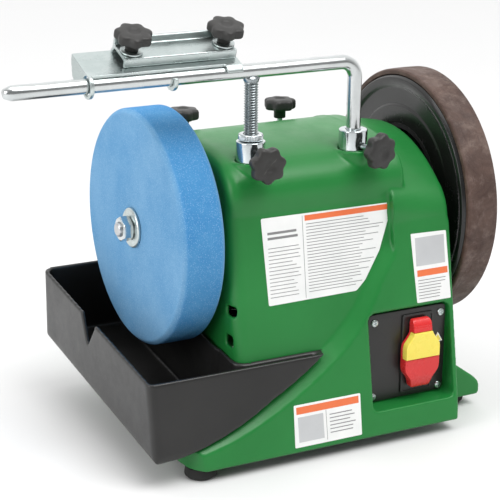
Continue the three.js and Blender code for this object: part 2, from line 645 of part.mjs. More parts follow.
function addTray() {
  const notch = outline([[26, -60], [23, -76], [12, -101], [10, -101], [-5, -82], [-8, -60]]);
  const tray = cut(trayBody(0, 0.8), trayBody(TRAY_WALL, 0.8 + TRAY_WALL), extrudeX(notch, -60, -30));
  add('water_tray', tray, BLACK);
}

// ---------------------------------------------------------------- tool support
function supportBar() {
  const corner = new THREE.Vector3(LEG_RIGHT, LEG_Y, BAR_HEIGHT);
  const before = new THREE.Vector3(LEG_RIGHT - BEND_RADIUS, LEG_Y, BAR_HEIGHT);
  const after = new THREE.Vector3(LEG_RIGHT, LEG_Y, BAR_HEIGHT - BEND_RADIUS);
  const round = new THREE.Shape().absarc(0, 0, BAR_RADIUS, 0, Math.PI * 2);
  const bend = new THREE.ExtrudeGeometry(round, {
    steps: 6, curveSegments: 7, extrudePath: new THREE.QuadraticBezierCurve3(before, corner, after),
  });
  const straight = cylinderX(BAR_RADIUS, BAR_TIP + 5, LEG_RIGHT - BEND_RADIUS + 0.3, LEG_Y, BAR_HEIGHT, 16);
  const leg = cylinderZ(BAR_RADIUS, LEG_BOTTOM, BAR_HEIGHT - BEND_RADIUS + 0.3, LEG_RIGHT, LEG_Y, 16);
  const tip = new THREE.CylinderGeometry(BAR_RADIUS, 3.5, 6, 16).rotateZ(-Math.PI / 2);
  return join(straight, leg, bend, tip.translate(BAR_TIP + 3, LEG_Y, BAR_HEIGHT));
}

function addSupport() {
  const bar = cut(supportBar(), cylinderZ(BAR_RADIUS + GAP, 90, BAR_HEIGHT - 0.5, LEG_LEFT, LEG_Y));
  add('support_bar', bar, ZINC);
  add('threaded_leg', turnedZ([
    [0, LEG_BOTTOM], [5, LEG_BOTTOM], [BAR_RADIUS, LEG_BOTTOM + 1], [BAR_RADIUS, BAR_HEIGHT - 1],
    [0, BAR_HEIGHT - 1],
  ]), ZINC, LEG_LEFT, LEG_Y, 0);
  const bore = BAR_RADIUS + GAP;
  add('adjust_nut', turnedZ([
    [bore, COLLAR_TOP + GAP], [9, COLLAR_TOP + GAP], [10, COLLAR_TOP + 1.2], [10, COLLAR_TOP + 5],
    [9, COLLAR_TOP + 6], [bore, COLLAR_TOP + 6],
  ], 20), ZINC, LEG_LEFT, LEG_Y, 0);
}

// ---------------------------------------------------------------- jig
// Jig sections are drawn about the bar's centre: the first number points away from the operator,
// the second out of the plate.

function addJig() {
  const jig = new THREE.Group();
  jig.position.set(0, LEG_Y, BAR_HEIGHT);
  jig.rotation.x = JIG_TILT;
  machine.add(jig);
  const inner = BAR_RADIUS + 0.5;
  const outer = inner + 2.5;
  const tab = new THREE.Shape();
  tab.moveTo(0, outer);
  tab.absarc(0, 0, outer, Math.PI / 2, Math.PI * 0.83, false);
  tab.absarc(0, 0, inner, Math.PI * 0.83, Math.PI / 2, true);
  const flange = new THREE.Shape();
  flange.moveTo(0, outer);
  flange.lineTo(0, 0);
  flange.absarc(0, 0, outer + 1, Math.PI * 1.04, Math.PI * 1.64, false);
  flange.lineTo(27, -9);
  flange.lineTo(33.5, 4);
  flange.lineTo(33.5, outer);
  const lug = new THREE.Shape();
  lug.moveTo(0, outer - 1);
  lug.lineTo(0, 0);
  lug.absarc(0, 0, outer + 1, Math.PI * 1.06, Math.PI * 1.7, false);
  lug.lineTo(11, -6);
  lug.lineTo(11, outer - 1);
  const plate = box(JIG_LEFT, JIG_RIGHT, -1, 34, inner, outer);
  const bentTab = extrudeX(tab, JIG_RIGHT - 14, JIG_RIGHT);
  const endFlange = extrudeX(flange, JIG_LEFT, JIG_LEFT + 3);
  let lower = join(plate, bentTab, endFlange, extrudeX(lug, 2, 5));
  lower = cut(lower, cylinderX(inner, -200, 200, 0, 0));
  for (const x of [JIG_KNOB_LEFT, JIG_KNOB_RIGHT]) {
    lower = cut(lower, cylinderZ(3 + GAP, 0, 20, x, JIG_KNOB_BACK, 16));
  }
  add('jig_plate', lower, ZINC, 0, 0, 0, jig);
  const hat = outline([
    [5.5, outer + GAP], [8, outer + GAP], [8, outer + 5.5], [27, outer + 5.5], [30, outer + GAP],
    [33, outer + GAP], [33, outer + 2.5], [31, outer + 3], [30, outer + 14], [27.5, outer + 14],
    [27.5, outer + 8], [6, outer + 8], [5.5, outer + 7],
  ]);
  let clamp = extrudeX(hat, -36, JIG_RIGHT - 2);
  for (const x of [JIG_KNOB_LEFT, JIG_KNOB_RIGHT]) {
    clamp = cut(clamp, cylinderZ(3 + GAP, 0, 30, x, JIG_KNOB_BACK, 16));
  }
  add('jig_clamp', clamp, ZINC, 0, 0, 0, jig);
  const top = outer + 8 + GAP;
  for (const [name, x] of [['left', JIG_KNOB_LEFT], ['right', JIG_KNOB_RIGHT]]) {
    add(`jig_washer_${name}`, turnedZ([[3 + GAP, top], [9, top], [9, top + 1.5], [3 + GAP, top + 1.5]]), ZINC,
      x, JIG_KNOB_BACK, 0, jig);
    add(`jig_stud_${name}`, join(
      cylinderZ(3, inner - 0.5, top + 12, 0, 0, 16), cylinderZ(5.5, inner - 4, inner - GAP, 0, 0, 6),
    ), ZINC, x, JIG_KNOB_BACK, 0, jig);
    const knob = cut(lobedKnob(15.5, 7), cylinderZ(3 + GAP, -5, 11.5, 0, 0, 12));
    add(`jig_knob_${name}`, knob, KNOB, x, JIG_KNOB_BACK, top + 1.5 + GAP, jig);
  }
}

addHousing();
addBottom();
addCollar('collar_left', LEG_LEFT, LEFT_KNOB_SWING);
addCollar('collar_right', LEG_RIGHT, RIGHT_KNOB_SWING);
addRearSleeve('rear_sleeve_left', LEG_LEFT);
addRearSleeve('rear_sleeve_right', LEG_RIGHT);
const legs = [['left', LEG_LEFT, LEFT_KNOB_SWING], ['right', LEG_RIGHT, RIGHT_KNOB_SWING]];
for (const [side, x, swing] of legs) {
  const knobX = x + KNOB_REACH * Math.sin(swing);
  const knobY = LEG_Y - KNOB_REACH * Math.cos(swing);
  addKnobSet(`front_${side}`, 13.5, 15.5, knobX, knobY, FRONT_KNOB_Z, Math.PI / 2, swing);
  addKnobSet(`rear_${side}`, REAR_KNOB_Z - SLEEVE_Z - 7, 14.5, x, REAR_KNOB_Y, REAR_KNOB_Z, 0);
}
addSpindle();
addHoningWheel();
addMotor();
addSwitch();
addPaddle();
addGland();
addTray();
addSupport();
addJig();

const group = new THREE.Group();
group.add(machine);

export default group;
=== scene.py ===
import bmesh
import bpy
import json
import random
from math import atan, cos, exp, pi, radians, sin, tau
from mathutils import Matrix, Vector


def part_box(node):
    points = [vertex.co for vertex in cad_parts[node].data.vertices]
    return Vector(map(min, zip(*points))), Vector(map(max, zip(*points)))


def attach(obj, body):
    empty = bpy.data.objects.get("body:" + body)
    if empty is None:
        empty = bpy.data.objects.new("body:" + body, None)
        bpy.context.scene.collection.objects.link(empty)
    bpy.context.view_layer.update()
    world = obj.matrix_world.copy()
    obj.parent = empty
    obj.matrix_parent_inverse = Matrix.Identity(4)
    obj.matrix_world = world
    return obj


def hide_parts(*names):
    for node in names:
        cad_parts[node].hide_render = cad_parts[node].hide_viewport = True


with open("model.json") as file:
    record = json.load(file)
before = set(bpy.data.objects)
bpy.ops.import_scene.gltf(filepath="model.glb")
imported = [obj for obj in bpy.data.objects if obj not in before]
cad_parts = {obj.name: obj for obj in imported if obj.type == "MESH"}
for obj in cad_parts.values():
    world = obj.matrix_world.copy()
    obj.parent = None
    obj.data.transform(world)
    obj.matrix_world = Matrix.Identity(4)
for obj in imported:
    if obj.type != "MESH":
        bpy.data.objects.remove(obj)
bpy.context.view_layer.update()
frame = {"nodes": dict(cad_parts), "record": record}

# ---- places
# Shapes are drawn in millimetres from the point where the spindle axis meets the stone's outer face.
stone_low, stone_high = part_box("grindstone")
ORIGIN = Vector((stone_low.x, (stone_low.y + stone_high.y) / 2, (stone_low.z + stone_high.z) / 2))
TO_ROW = Matrix.Translation(ORIGIN) @ Matrix.Scale(0.001, 4)

STONE_RADIUS, STONE_WIDTH = 100, 38
LEATHER_RADIUS, LEATHER_INNER, LEATHER_FACE, LEATHER_WIDTH, DRUM_BACK = 111, 106, 263, 30, 260.5
FLOOR_Z, BASE_BOTTOM, FRONT_Y, FRONT_LEAN, COLUMN_LEAN = -182, -172, -130, 0.17, 0.139
FRONT_ANGLE = atan(FRONT_LEAN)
BAND_DEPTH, BAND_WIDTH = 9, 10.5
COLUMN_LEFT, COLUMN_RIGHT, FLANK_RIGHT, BASE_LEFT = 45, 210, 250, -6
WALL = 3.5
TRAY_SLOPE, TRAY_FRONT_RIM, TRAY_DEPTH, TRAY_LEFT, TRAY_BACK, TRAY_WALL = 0.128, -94, 65, -39, 116, 3
LEG_Y, LEG_LEFT, LEG_RIGHT, LEG_BOTTOM = -72, 73, 169, 12
BAR_RADIUS, BAR_HEIGHT, BAR_TIP, BEND_RADIUS = 6, 140, -134, 13
COLLAR_RADIUS, COLLAR_TOP, COLLAR_BOTTOM = 12, 83, 36
FRONT_KNOB_Z, REAR_KNOB_Y, REAR_KNOB_Z, SLEEVE_Z, REAR_BOSS_TOP = 70, 56, 66, 32, 59
JIG_TILT, JIG_LEFT, JIG_RIGHT = 0.36, -68, 62
JIG_KNOBS, JIG_KNOB_BACK = {"left": -26.5, "right": 52.5}, 16
KNOB_SWING = {"left": -0.06, "right": 0.2}
LEGS = {"left": LEG_LEFT, "right": LEG_RIGHT}
PLATE_Y, PLATE_DEPTH = -109.5, 2.4
SCREWS = [(172.2, -77.3), (238.4, -77.3), (238.4, -144.2), (172.2, -144.2)]
PADDLE_X, PADDLE_BACK, PADDLE_FRONT = 215, -111.6, -120.4
KEY_BOTTOM, KEY_TOP = -112, -89
RING_OUTER, ROLLER_Z = 62, -53.25
SHAFT_BORE, BAR_BORE, STUD_BORE, STUD_RADIUS = 6.4, 6.35, 3.35, 3.2
NUT_RADIUS, NUT_HEIGHT, WASHER_RADIUS = 11, 9, 17
FRONT_KNOB_RADIUS, REAR_KNOB_RADIUS, JIG_KNOB_RADIUS, KNOB_REACH, KNOB_LOBES = 15.4, 14.4, 15.2, 20.5, 7
THREAD_PITCH, THREAD_DEPTH = 2.1, 1.15
GLAND_X, GLAND_Z = 150, -140
TRAY_CLEARANCE = 0.8
GAP = 0.35
FAR = 200
FACING_FRONT = Matrix.Rotation(pi / 2, 4, "X")
ABOUT_X = Matrix.Rotation(pi / 2, 4, "Y")


# ---- node materials
class Nodes:
    """A material's node tree with short ways to add what the surfaces here need."""

    def __init__(self, name, roughness, metallic=0.0, **sockets):
        self.material = bpy.data.materials.new(name)
        self.material.use_nodes = True
        self.tree = self.material.node_tree
        self.shader = self.tree.nodes["Principled BSDF"]
        for key, value in {"Roughness": roughness, "Metallic": metallic, **sockets}.items():
            self.shader.inputs[key.replace("_", " ")].default_value = value
        self.place = self.tree.nodes.new("ShaderNodeTexCoord").outputs["Object"]

    def link(self, a, b):
        self.tree.links.new(a, b)

    def made(self, kind, source, socket="Vector", **values):
        """A new node with its inputs set and one of them fed from a source."""
        node = self.tree.nodes.new("ShaderNode" + kind)
        for key, value in values.items():
            node.inputs[key].default_value = value
        self.link(source, node.inputs[socket])
        return node

    def stretched(self, scale):
        return self.made("Mapping", self.place, Scale=scale).outputs["Vector"]

    def noise(self, scale, detail=4.0, rough=0.5, vector=None, distortion=0.0):
        values = {"Scale": scale, "Detail": detail, "Roughness": rough, "Distortion": distortion}
        return self.made("TexNoise", vector or self.place, **values).outputs["Fac"]

    def cells(self, scale):
        return self.made("TexVoronoi", self.place, Scale=scale).outputs["Distance"]

    def band(self, value, low, high, out_low=0.0, out_high=1.0):
        ends = {"From Min": low, "From Max": high, "To Min": out_low, "To Max": out_high}
        return self.made("MapRange", value, "Value", **ends).outputs["Result"]

    def edge(self, low=0.52, high=0.6):
        node = self.tree.nodes.new("ShaderNodeNewGeometry")
        return self.band(node.outputs["Pointiness"], low, high)

    def colour(self, factor, a, b):
        node = self.tree.nodes.new("ShaderNodeMix")
        node.data_type = "RGBA"
        self.link(factor, node.inputs[0])
        for socket, value in ((node.inputs[6], a), (node.inputs[7], b)):
            if isinstance(value, tuple):
                socket.default_value = (*value, 1)
            else:
                self.link(value, socket)
        return node.outputs[2]

    def sideways(self):
        """How far the surface faces along the object's X axis, 0 to 1."""
        normal = self.tree.nodes.new("ShaderNodeTexCoord").outputs["Normal"]
        size = self.made("Math", self.made("SeparateXYZ", normal).outputs["X"], 0)
        size.operation = "ABSOLUTE"
        return size.outputs[0]

    def add(self, a, b, weight=1.0):
        node = self.made("Math", b, 0)
        node.operation = "MULTIPLY_ADD"
        node.inputs[1].default_value = weight
        self.link(a, node.inputs[2])
        return node.outputs[0]

    def finish(self, colour, roughness=None, height=None, distance=0.0002, strength=1.0):
        self.link(colour, self.shader.inputs["Base Color"])
        if roughness is not None:
            self.link(roughness, self.shader.inputs["Roughness"])
        if height is not None:
            bump = self.made("Bump", height, "Height", Strength=strength, Distance=distance)
            self.link(bump.outputs["Normal"], self.shader.inputs["Normal"])
        return self.material


def plastic(name, dark, light, rough_low, rough_high, grain=900, depth=0.00004, edge_highlight=None, **sockets):
    n = Nodes(name, rough_low, **sockets)
    mottle = n.band(n.noise(14, 5, 0.6), 0.3, 0.7)
    colour = n.colour(mottle, dark, light)
    # Convex edges are mixed towards a lighter colour: a painted edge highlight.
    if edge_highlight:
        colour = n.colour(n.band(n.add(n.edge(), n.noise(160, 3), 0.6), 0.85, 1.5), colour, edge_highlight)
    roughness = n.band(n.noise(60, 6, 0.7), 0.3, 0.7, rough_low, rough_high)
    return n.finish(colour, roughness, n.noise(grain, 3, 0.6), depth)


def metal(name, dark, light, rough_low, rough_high, drawn=(1, 1, 1), depth=0.00003):
    n = Nodes(name, rough_low, metallic=1.0)
    cloud = n.band(n.noise(35, 6, 0.65, distortion=0.6), 0.3, 0.7)
    colour = n.colour(cloud, dark, light)
    streak = n.noise(240, 5, 0.7, n.stretched(drawn))
    roughness = n.band(streak, 0.3, 0.7, rough_low, rough_high)
    return n.finish(colour, roughness, streak, depth)


def make_stone():
    n = Nodes("stone_grit", 0.93, Specular_IOR_Level=0.25)
    cloud = n.band(n.noise(22, 8, 0.72), 0.32, 0.68)
    # Two copies of the stone's blue, chosen by which way the surface faces: the paler, whiter one on the side
    # faces is painted light and sheen, the darker one on the rim is painted shade.
    face = n.colour(cloud, (0.092, 0.275, 0.5), (0.162, 0.35, 0.56))
    rim = n.colour(cloud, (0.03, 0.2, 0.46), (0.07, 0.27, 0.525))
    base = n.colour(n.band(n.sideways(), 0.35, 0.75), rim, face)
    speck = n.band(n.cells(820), 0.05, 0.32)
    base = n.colour(speck, (0.3, 0.48, 0.68), base)
    pit = n.band(n.noise(1150, 3, 0.7), 0.6, 0.72)
    base = n.colour(pit, base, (0.035, 0.16, 0.42))
    # Convex edges are mixed towards a pale blue-white: a painted highlight.
    edge_sheen = n.band(n.edge(0.505, 0.56), 0, 1, 0, 0.35)
    base = n.colour(edge_sheen, base, (0.34, 0.56, 0.8))
    height = n.add(n.noise(1300, 5, 0.75), n.noise(240, 4, 0.7), 0.7)
    return n.finish(base, None, height, 0.00032, 0.9)


def make_leather():
    n = Nodes("honing_hide", 0.6, Specular_IOR_Level=0.4)
    cloud = n.band(n.noise(30, 8, 0.75, distortion=0.8), 0.3, 0.72)
    base = n.colour(cloud, (0.042, 0.021, 0.016), (0.124, 0.076, 0.06))
    blotch = n.band(n.noise(85, 6, 0.7), 0.5, 0.75)
    base = n.colour(blotch, base, (0.17, 0.122, 0.102))
    rub = n.band(n.noise(320, 4, 0.7, n.stretched((1, 0.25, 0.25))), 0.55, 0.75)
    base = n.colour(rub, base, (0.045, 0.02, 0.015))
    base = n.colour(n.band(n.edge(0.51, 0.6), 0, 1, 0, 0.6), base, (0.11, 0.045, 0.03))
    pores = n.band(n.cells(900), 0.0, 0.35)
    height = n.add(pores, n.noise(140, 6, 0.7), 1.2)
    roughness = n.band(n.noise(90, 5, 0.6), 0.3, 0.7, 0.48, 0.74)
    return n.finish(base, roughness, height, 0.00035, 0.8)


def make_paper():
    n = Nodes("label_white", 0.35)
    colour = n.colour(n.band(n.noise(40, 4), 0.3, 0.7), (0.8, 0.81, 0.8), (0.88, 0.88, 0.87))
    return n.finish(colour, n.band(n.noise(300, 4), 0.3, 0.7, 0.28, 0.42), n.noise(700, 3), 0.00001)


SOFT = {"Subsurface_Weight": 0.12, "Subsurface_Scale": 0.002}
# For the green, satin black, gloss black and knob plastics the last colour is a painted edge highlight on
# convex edges.
GREEN = plastic("housing_green", (0.011, 0.172, 0.032), (0.016, 0.2, 0.04), 0.3, 0.4, 1300, 0.00003,
                (0.035, 0.25, 0.065), Specular_IOR_Level=0.36)
BLACK = plastic("satin_black", (0.01, 0.01, 0.0095), (0.017, 0.0165, 0.016), 0.3, 0.42, 1100, 0.00004,
                (0.04, 0.04, 0.038))
DRUM = plastic("gloss_black", (0.008, 0.008, 0.008), (0.015, 0.0145, 0.014), 0.16, 0.3, 500, 0.00003,
               (0.05, 0.05, 0.048))
KNOB = plastic("knob_grey", (0.016, 0.0155, 0.0148), (0.027, 0.0258, 0.024), 0.4, 0.56, 1600, 0.00006,
               (0.075, 0.073, 0.07))
RUBBER = plastic("matt_rubber", (0.01, 0.01, 0.01), (0.02, 0.02, 0.019), 0.7, 0.88, 800, 0.0001)
RED = plastic("signal_red", (0.61, 0.02, 0.022), (0.7, 0.03, 0.03), 0.22, 0.34, 900, 0.00002, **SOFT)
YELLOW = plastic("signal_yellow", (0.86, 0.69, 0.09), (0.92, 0.77, 0.12), 0.22, 0.34, 900, 0.00002, **SOFT)
ORANGE = plastic("label_orange", (0.76, 0.15, 0.045), (0.82, 0.185, 0.06), 0.3, 0.42, 700, 0.00001)
GREY = plastic("label_grey", (0.2, 0.2, 0.2), (0.27, 0.27, 0.27), 0.35, 0.45, 700, 0.00001)
PALE = plastic("label_pale", (0.47, 0.48, 0.49), (0.56, 0.57, 0.58), 0.35, 0.45, 700, 0.00001)
ZINC = metal("bright_zinc", (0.46, 0.525, 0.515), (0.6, 0.65, 0.645), 0.24, 0.38, (0.3, 1, 1))
BRIGHT = metal("polished_zinc", (0.5, 0.555, 0.57), (0.68, 0.715, 0.725), 0.09, 0.19, (1, 1, 0.3))
CHROME = metal("bar_chrome", (0.56, 0.585, 0.585), (0.66, 0.68, 0.68), 0.15, 0.26, (0.15, 1, 1))
THREAD = metal("thread_zinc", (0.24, 0.27, 0.28), (0.38, 0.41, 0.42), 0.2, 0.34)
STEEL = metal("turned_steel", (0.46, 0.47, 0.48), (0.6, 0.61, 0.62), 0.26, 0.42)
BRONZE = metal("sintered_bronze", (0.42, 0.27, 0.13), (0.58, 0.4, 0.21), 0.34, 0.5)
ALUMINIUM = metal("cast_aluminium", (0.55, 0.56, 0.57), (0.68, 0.69, 0.7), 0.38, 0.55, depth=0.00008)
STONE = make_stone()
HIDE = make_leather()
PAPER = make_paper()

CAD_LOOKS = {
    "green_plastic": GREEN, "black_plastic": BLACK, "knob_plastic": KNOB, "rubber": RUBBER,
    "grindstone": STONE, "leather": HIDE, "red_plastic": RED, "yellow_plastic": YELLOW, "zinc": ZINC,
    "steel": STEEL, "bronze": BRONZE, "aluminium": ALUMINIUM,
}
SLOT_OF = {s["node"]: s["material_slot"] for s in frame["record"]["subparts"]}
BODY_OF = {n: b for b, members in frame["record"]["behaviour"]["bodies"].items() for n in members}
for cad_name, cad_object in frame["nodes"].items():
    cad_object.data.materials.clear()
    cad_object.data.materials.append(CAD_LOOKS[SLOT_OF[cad_name]])


# ---- mesh helpers
def linked(name, data):
    """A new object in the scene."""
    thing = bpy.data.objects.new(name, data)
    bpy.context.scene.collection.objects.link(thing)
    return thing


def shown(name, mesh, looks, node, sharp=40, replaces=True):
    """A finished mesh as a piece on a CAD node's body; it replaces the node unless it is an extra."""
    if mesh.materials:
        mesh.materials.clear()
    for look in looks if isinstance(looks, list) else [looks]:
        mesh.materials.append(look)
    mesh.polygons.foreach_set("use_smooth", [True] * len(mesh.polygons))
    mesh.set_sharp_from_angle(angle=radians(sharp))
    piece = linked(name, mesh)
    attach(piece, BODY_OF[node])
    if replaces:
        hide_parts(node)


def to_mesh(bm):
    """A mesh in metres, in its place in the row, from a bmesh in millimetres."""
    bmesh.ops.transform(bm, matrix=TO_ROW, verts=bm.verts)
    mesh = bpy.data.meshes.new("shape")
    bm.to_mesh(mesh)
    bm.free()
    return mesh


def evaluated(mesh, *settings):
    """The mesh with modifiers applied in turn; each setting is (type, {property: value})."""
    holder = linked("holder", mesh)
    for kind, values in settings:
        modifier = holder.modifiers.new(kind, kind)
        for key, value in values.items():
            setattr(modifier, key, value)
    graph = bpy.context.evaluated_depsgraph_get()
    result = bpy.data.meshes.new_from_object(holder.evaluated_get(graph))
    bpy.data.objects.remove(holder)
    return result


def boolean(mesh, *tools, operation="DIFFERENCE"):
    for tool in tools:
        other = linked("tool", tool)
        mesh = evaluated(mesh, ("BOOLEAN", {"operation": operation, "solver": "MANIFOLD", "object": other}))
        bpy.data.objects.remove(other)
    return mesh


def union(*meshes):
    return boolean(meshes[0], *meshes[1:], operation="UNION")


def common(a, b):
    return boolean(a, b, operation="INTERSECT")


def moulded(mesh, voxel, rounds):
    """An evenly meshed copy whose edges are softened, as a moulding's are. Voxel in millimetres."""
    mesh = evaluated(mesh, ("REMESH", {"mode": "VOXEL", "voxel_size": voxel / 1000, "adaptivity": 0.0}))
    return evaluated(mesh, ("SMOOTH", {"factor": 0.5, "iterations": rounds}))


def quad(p0, c, p1, steps=14):
    """Points of a quadratic curve after its start."""
    points = []
    for i in range(1, steps + 1):
        t = i / steps
        u = 1 - t
        points.append(tuple(u ** 2 * a + 2 * t * u * b + t * t * d for a, b, d in zip(p0, c, p1)))
    return points


def path(start, *parts):
    """A chain of points: each part is an end point, or a (control, end) pair for a curve."""
    points = [start]
    for part in parts:
        if isinstance(part[0], tuple):
            points += quad(points[-1], part[0], part[1])
        else:
            points.append(part)
    return points


def arc(x, y, radius, start, end, steps=20):
    turns = [start + (end - start) * i / steps for i in range(steps + 1)]
    return [(x + radius * cos(t), y + radius * sin(t)) for t in turns]


def fillet(points, radius, steps=4, closed=True):
    """Rounds the corners of a chain of points."""
    rounded = []
    count = len(points)
    for i, (a, b) in enumerate(points):
        if not closed and i in (0, count - 1):
            rounded.append((a, b))
            continue
        here = Vector((a, b))
        before = Vector(points[i - 1]) - here
        after = Vector(points[(i + 1) % count]) - here
        reach = min(radius, before.length * 0.45, after.length * 0.45)
        start, end = here + before.normalized() * reach, here + after.normalized() * reach
        rounded.append(tuple(start))
        rounded += quad(tuple(start), (a, b), tuple(end), steps)
    return rounded


def offset(points, distance):
    """A closed outline moved outwards by a distance; a negative one moves it inwards."""
    area = sum(a[0] * b[1] - b[0] * a[1] for a, b in zip(points, points[1:] + points[:1]))
    side = 1 if area > 0 else -1
    moved = []
    for i, here in enumerate(points):
        before, after = Vector(points[i - 1]), Vector(points[(i + 1) % len(points)])
        first, second = (Vector(here) - before).normalized(), (after - Vector(here)).normalized()
        normal = Vector((first.y + second.y, -first.x - second.x)) * side
        if normal.length < 1e-6:
            moved.append(here)
            continue
        normal.normalize()
        lean = max(0.5, normal.dot(Vector((first.y, -first.x)) * side))
        moved.append((here[0] + normal.x * distance / lean, here[1] + normal.y * distance / lean))
    return moved


def strip(bm, low, high):
    """Faces between two rings of equally many vertices."""
    return [bm.faces.new(four) for four in zip(low, low[1:] + low[:1], high[1:] + high[:1], high)]


def skin(rings):
    """A closed mesh through rings of equally many 3-D points."""
    bm = bmesh.new()
    rows = [[bm.verts.new(p) for p in ring] for ring in rings]
    for low, high in zip(rows, rows[1:]):
        strip(bm, low, high)
    bm.faces.new(list(reversed(rows[0])))
    bm.faces.new(rows[-1])
    bmesh.ops.remove_doubles(bm, verts=bm.verts, dist=1e-5)
    bmesh.ops.triangulate(bm, faces=[f for f in bm.faces if len(f.verts) > 4])
    bmesh.ops.recalc_face_normals(bm, faces=bm.faces)
    return to_mesh(bm)


def quarter(steps):
    """Angles from 0 up to, but not including, a quarter turn."""
    return [pi / 2 * i / steps for i in range(steps)]


def prism_x(outline, x0, x1, edge=0):
    """An outline in (y, z) drawn out along X, with rounded end edges."""
    rings = []
    for turn in quarter(5) + [pi / 2] if edge else [0]:
        inset = edge * (1 - sin(turn))
        rings.append((x0 + edge * (1 - cos(turn)), offset(outline, -inset) if edge else outline))
    rings += [(x0 + x1 - x, ring) for x, ring in reversed(rings)]
    return skin([[(x, y, z) for y, z in ring] for x, ring in rings])


def prism_z(outline, z0, z1):
    """An outline in (x, y) drawn out along Z."""
    return skin([[(x, y, z) for x, y in outline] for z in (z0, z1)])


def on_front(x, height, out):
    """A point from (x, height) measured up the leaning front plane, and its distance out of it."""
    up = height - BASE_BOTTOM
    return (
        x,
        FRONT_Y + up * sin(FRONT_ANGLE) - out * cos(FRONT_ANGLE),
        BASE_BOTTOM + up * cos(FRONT_ANGLE) + out * sin(FRONT_ANGLE),
    )


def prism_front(outline, out, depth):
    """An outline on the front plane, drawn from out back to out - depth."""
    return skin([[on_front(x, h, w) for x, h in outline] for w in (out - depth, out)])


def prism_y(outline, front, back, edge=0):
    """An outline in (x, z) drawn out along Y, with a rounded front edge."""
    rings = [(back, outline)]
    if edge:
        for turn in quarter(4):
            inset = edge * (1 - cos(turn))
            rings.append((front + edge * (1 - sin(turn)), offset(outline, -inset)))
    rings.append((front, offset(outline, -edge) if edge else outline))
    return skin([[(x, y, z) for x, z in ring] for y, ring in rings])


def box(x0, x1, y0, y1, z0, z1):
    return prism_z([(x0, y0), (x1, y0), (x1, y1), (x0, y1)], z0, z1)


def rectangle(x0, x1, y0, y1, radius):
    return fillet([(x0, y0), (x1, y0), (x1, y1), (x0, y1)], radius, 6)


def turned(profile, sides=96, frame_at=Matrix.Identity(4), wave=None):
    """A profile of (radius, height) pairs turned about Z and placed by a matrix; it may touch the axis."""
    bm = bmesh.new()
    rows = []
    for radius, height in profile:
        if radius < 1e-6:
            rows.append([bm.verts.new(frame_at @ Vector((0, 0, height)))])
            continue
        row = []
        for i in range(sides):
            turn = tau * i / sides
            r = radius + (wave(turn, radius, height) if wave else 0)
            row.append(bm.verts.new(frame_at @ Vector((r * cos(turn), r * sin(turn), height))))
        rows.append(row)
    closed = profile[0][0] > 1e-6 or profile[-1][0] > 1e-6
    pairs = list(zip(rows, rows[1:])) + ([(rows[-1], rows[0])] if closed else [])
    for low, high in pairs:
        for i in range(sides):
            j = (i + 1) % sides
            loop = [low[i % len(low)], low[j % len(low)], high[j % len(high)], high[i % len(high)]]
            corners = list(dict.fromkeys(loop))
            if len(corners) > 2:
                bm.faces.new(corners)
    bmesh.ops.recalc_face_normals(bm, faces=bm.faces)
    return to_mesh(bm)


def turned_x(profile, sides=160, wave=None):
    """A profile of (radius, x) pairs turned about the spindle axis."""
    return turned(profile, sides, ABOUT_X, wave)


def rod(radius, start, end, sides=40):
    """A plain closed cylinder between two points."""
    start, end = Vector(start), Vector(end)
    length = (end - start).length
    place = Matrix.Translation(start) @ (end - start).to_track_quat("Z", "Y").to_matrix().to_4x4()
    return turned([(0, 0), (radius, 0), (radius, length), (0, length)], sides, place)


# ---- housing
def front_at(z, recess=0):
    return FRONT_Y + recess + FRONT_LEAN * (z - BASE_BOTTOM)


def column_at(z):
    return -90 + COLUMN_LEAN * (z - 27)


def column_section(i):
    """The arched body's side outline in (y, z), moved inwards by i."""
    return path(
        (column_at(-200) + i, -200), (column_at(26) + i, 26),
        ((-91 + i, 28), (-92 + i, 36)), ((-93 + i, 56 - i / 2), (-71 + i / 2, 66 - i)),
        ((-50, 74 - i), (0, 74.5 - i)), ((30 - i / 2, 74.5 - i), (46 - i / 2, 60 - i)), (84, 48 - i),
        ((96 - i, 46 - i), (98 - i, 32)), (120 - i, -200),
    )


def shoulder_section(i):
    """The lower right shoulder's side outline in (y, z), moved inwards by i."""
    return path(
        (front_at(-200) + i, -200), (front_at(5) + i, 5), ((-98 + i, 22), (-83 + i * 0.7, 33 - i * 0.7)),
        ((-45, 66 - i), (0, 66 - i)), ((45, 66 - i), (83 - i * 0.7, 33 - i * 0.7)),
        ((98 - i, 22), (104 - i, 5)), (124 - i, -200),
    )


def shoulder_body(inset, x0, x1):
    """The right shoulder: its section swells slightly to the left and is rounded off at the right."""
    outer = shoulder_section(inset)
    inner = []
    for y, z in outer:
        rise = max(0, z - 5)
        inner.append((y * (1 + 0.05 * min(1, rise / 20)), z + 0.15 * rise))
    rings = [(x0, inner), (x1, outer)]
    if inset == 0:
        rings[1:] = [(x1 - 4, outer), (x1 - 1.2, offset(outer, -1.2)), (x1, offset(outer, -4))]
    return skin([[(x, y, z) for y, z in ring] for x, ring in rings])


def proud_outline(g):
    """The outline on the front plane of the part that stands proud, grown by g."""
    return path(
        (BASE_LEFT - 30, -220), (BASE_LEFT - 30, -161 + g * 0.3), (-20, -160 + g * 0.3),
        ((28, -157 + g * 0.7), (75 - g * 0.45, -133 + g * 0.9)),
        ((106 - g * 0.5, -118 + g * 0.86), (134 - g * 0.65, -96.5 + g * 0.76)),
        ((163 - g * 0.8, -74 + g * 0.6), (179 - g * 0.85, -41 + g * 0.5)),
        ((200 - g * 0.6, -6 + g), (216, -1 + g)), (300, 12 + g), (300, -220),
    )


def proud_body():
    """The proud part of the front with the sloping band along its upper edge."""
    outline = proud_outline(0)
    wide = offset(outline, BAND_WIDTH)
    levels = [(-39, outline), (-30, wide), (-BAND_DEPTH, wide), (0, outline)]
    return skin([[on_front(x, h, w) for x, h in ring] for w, ring in levels])


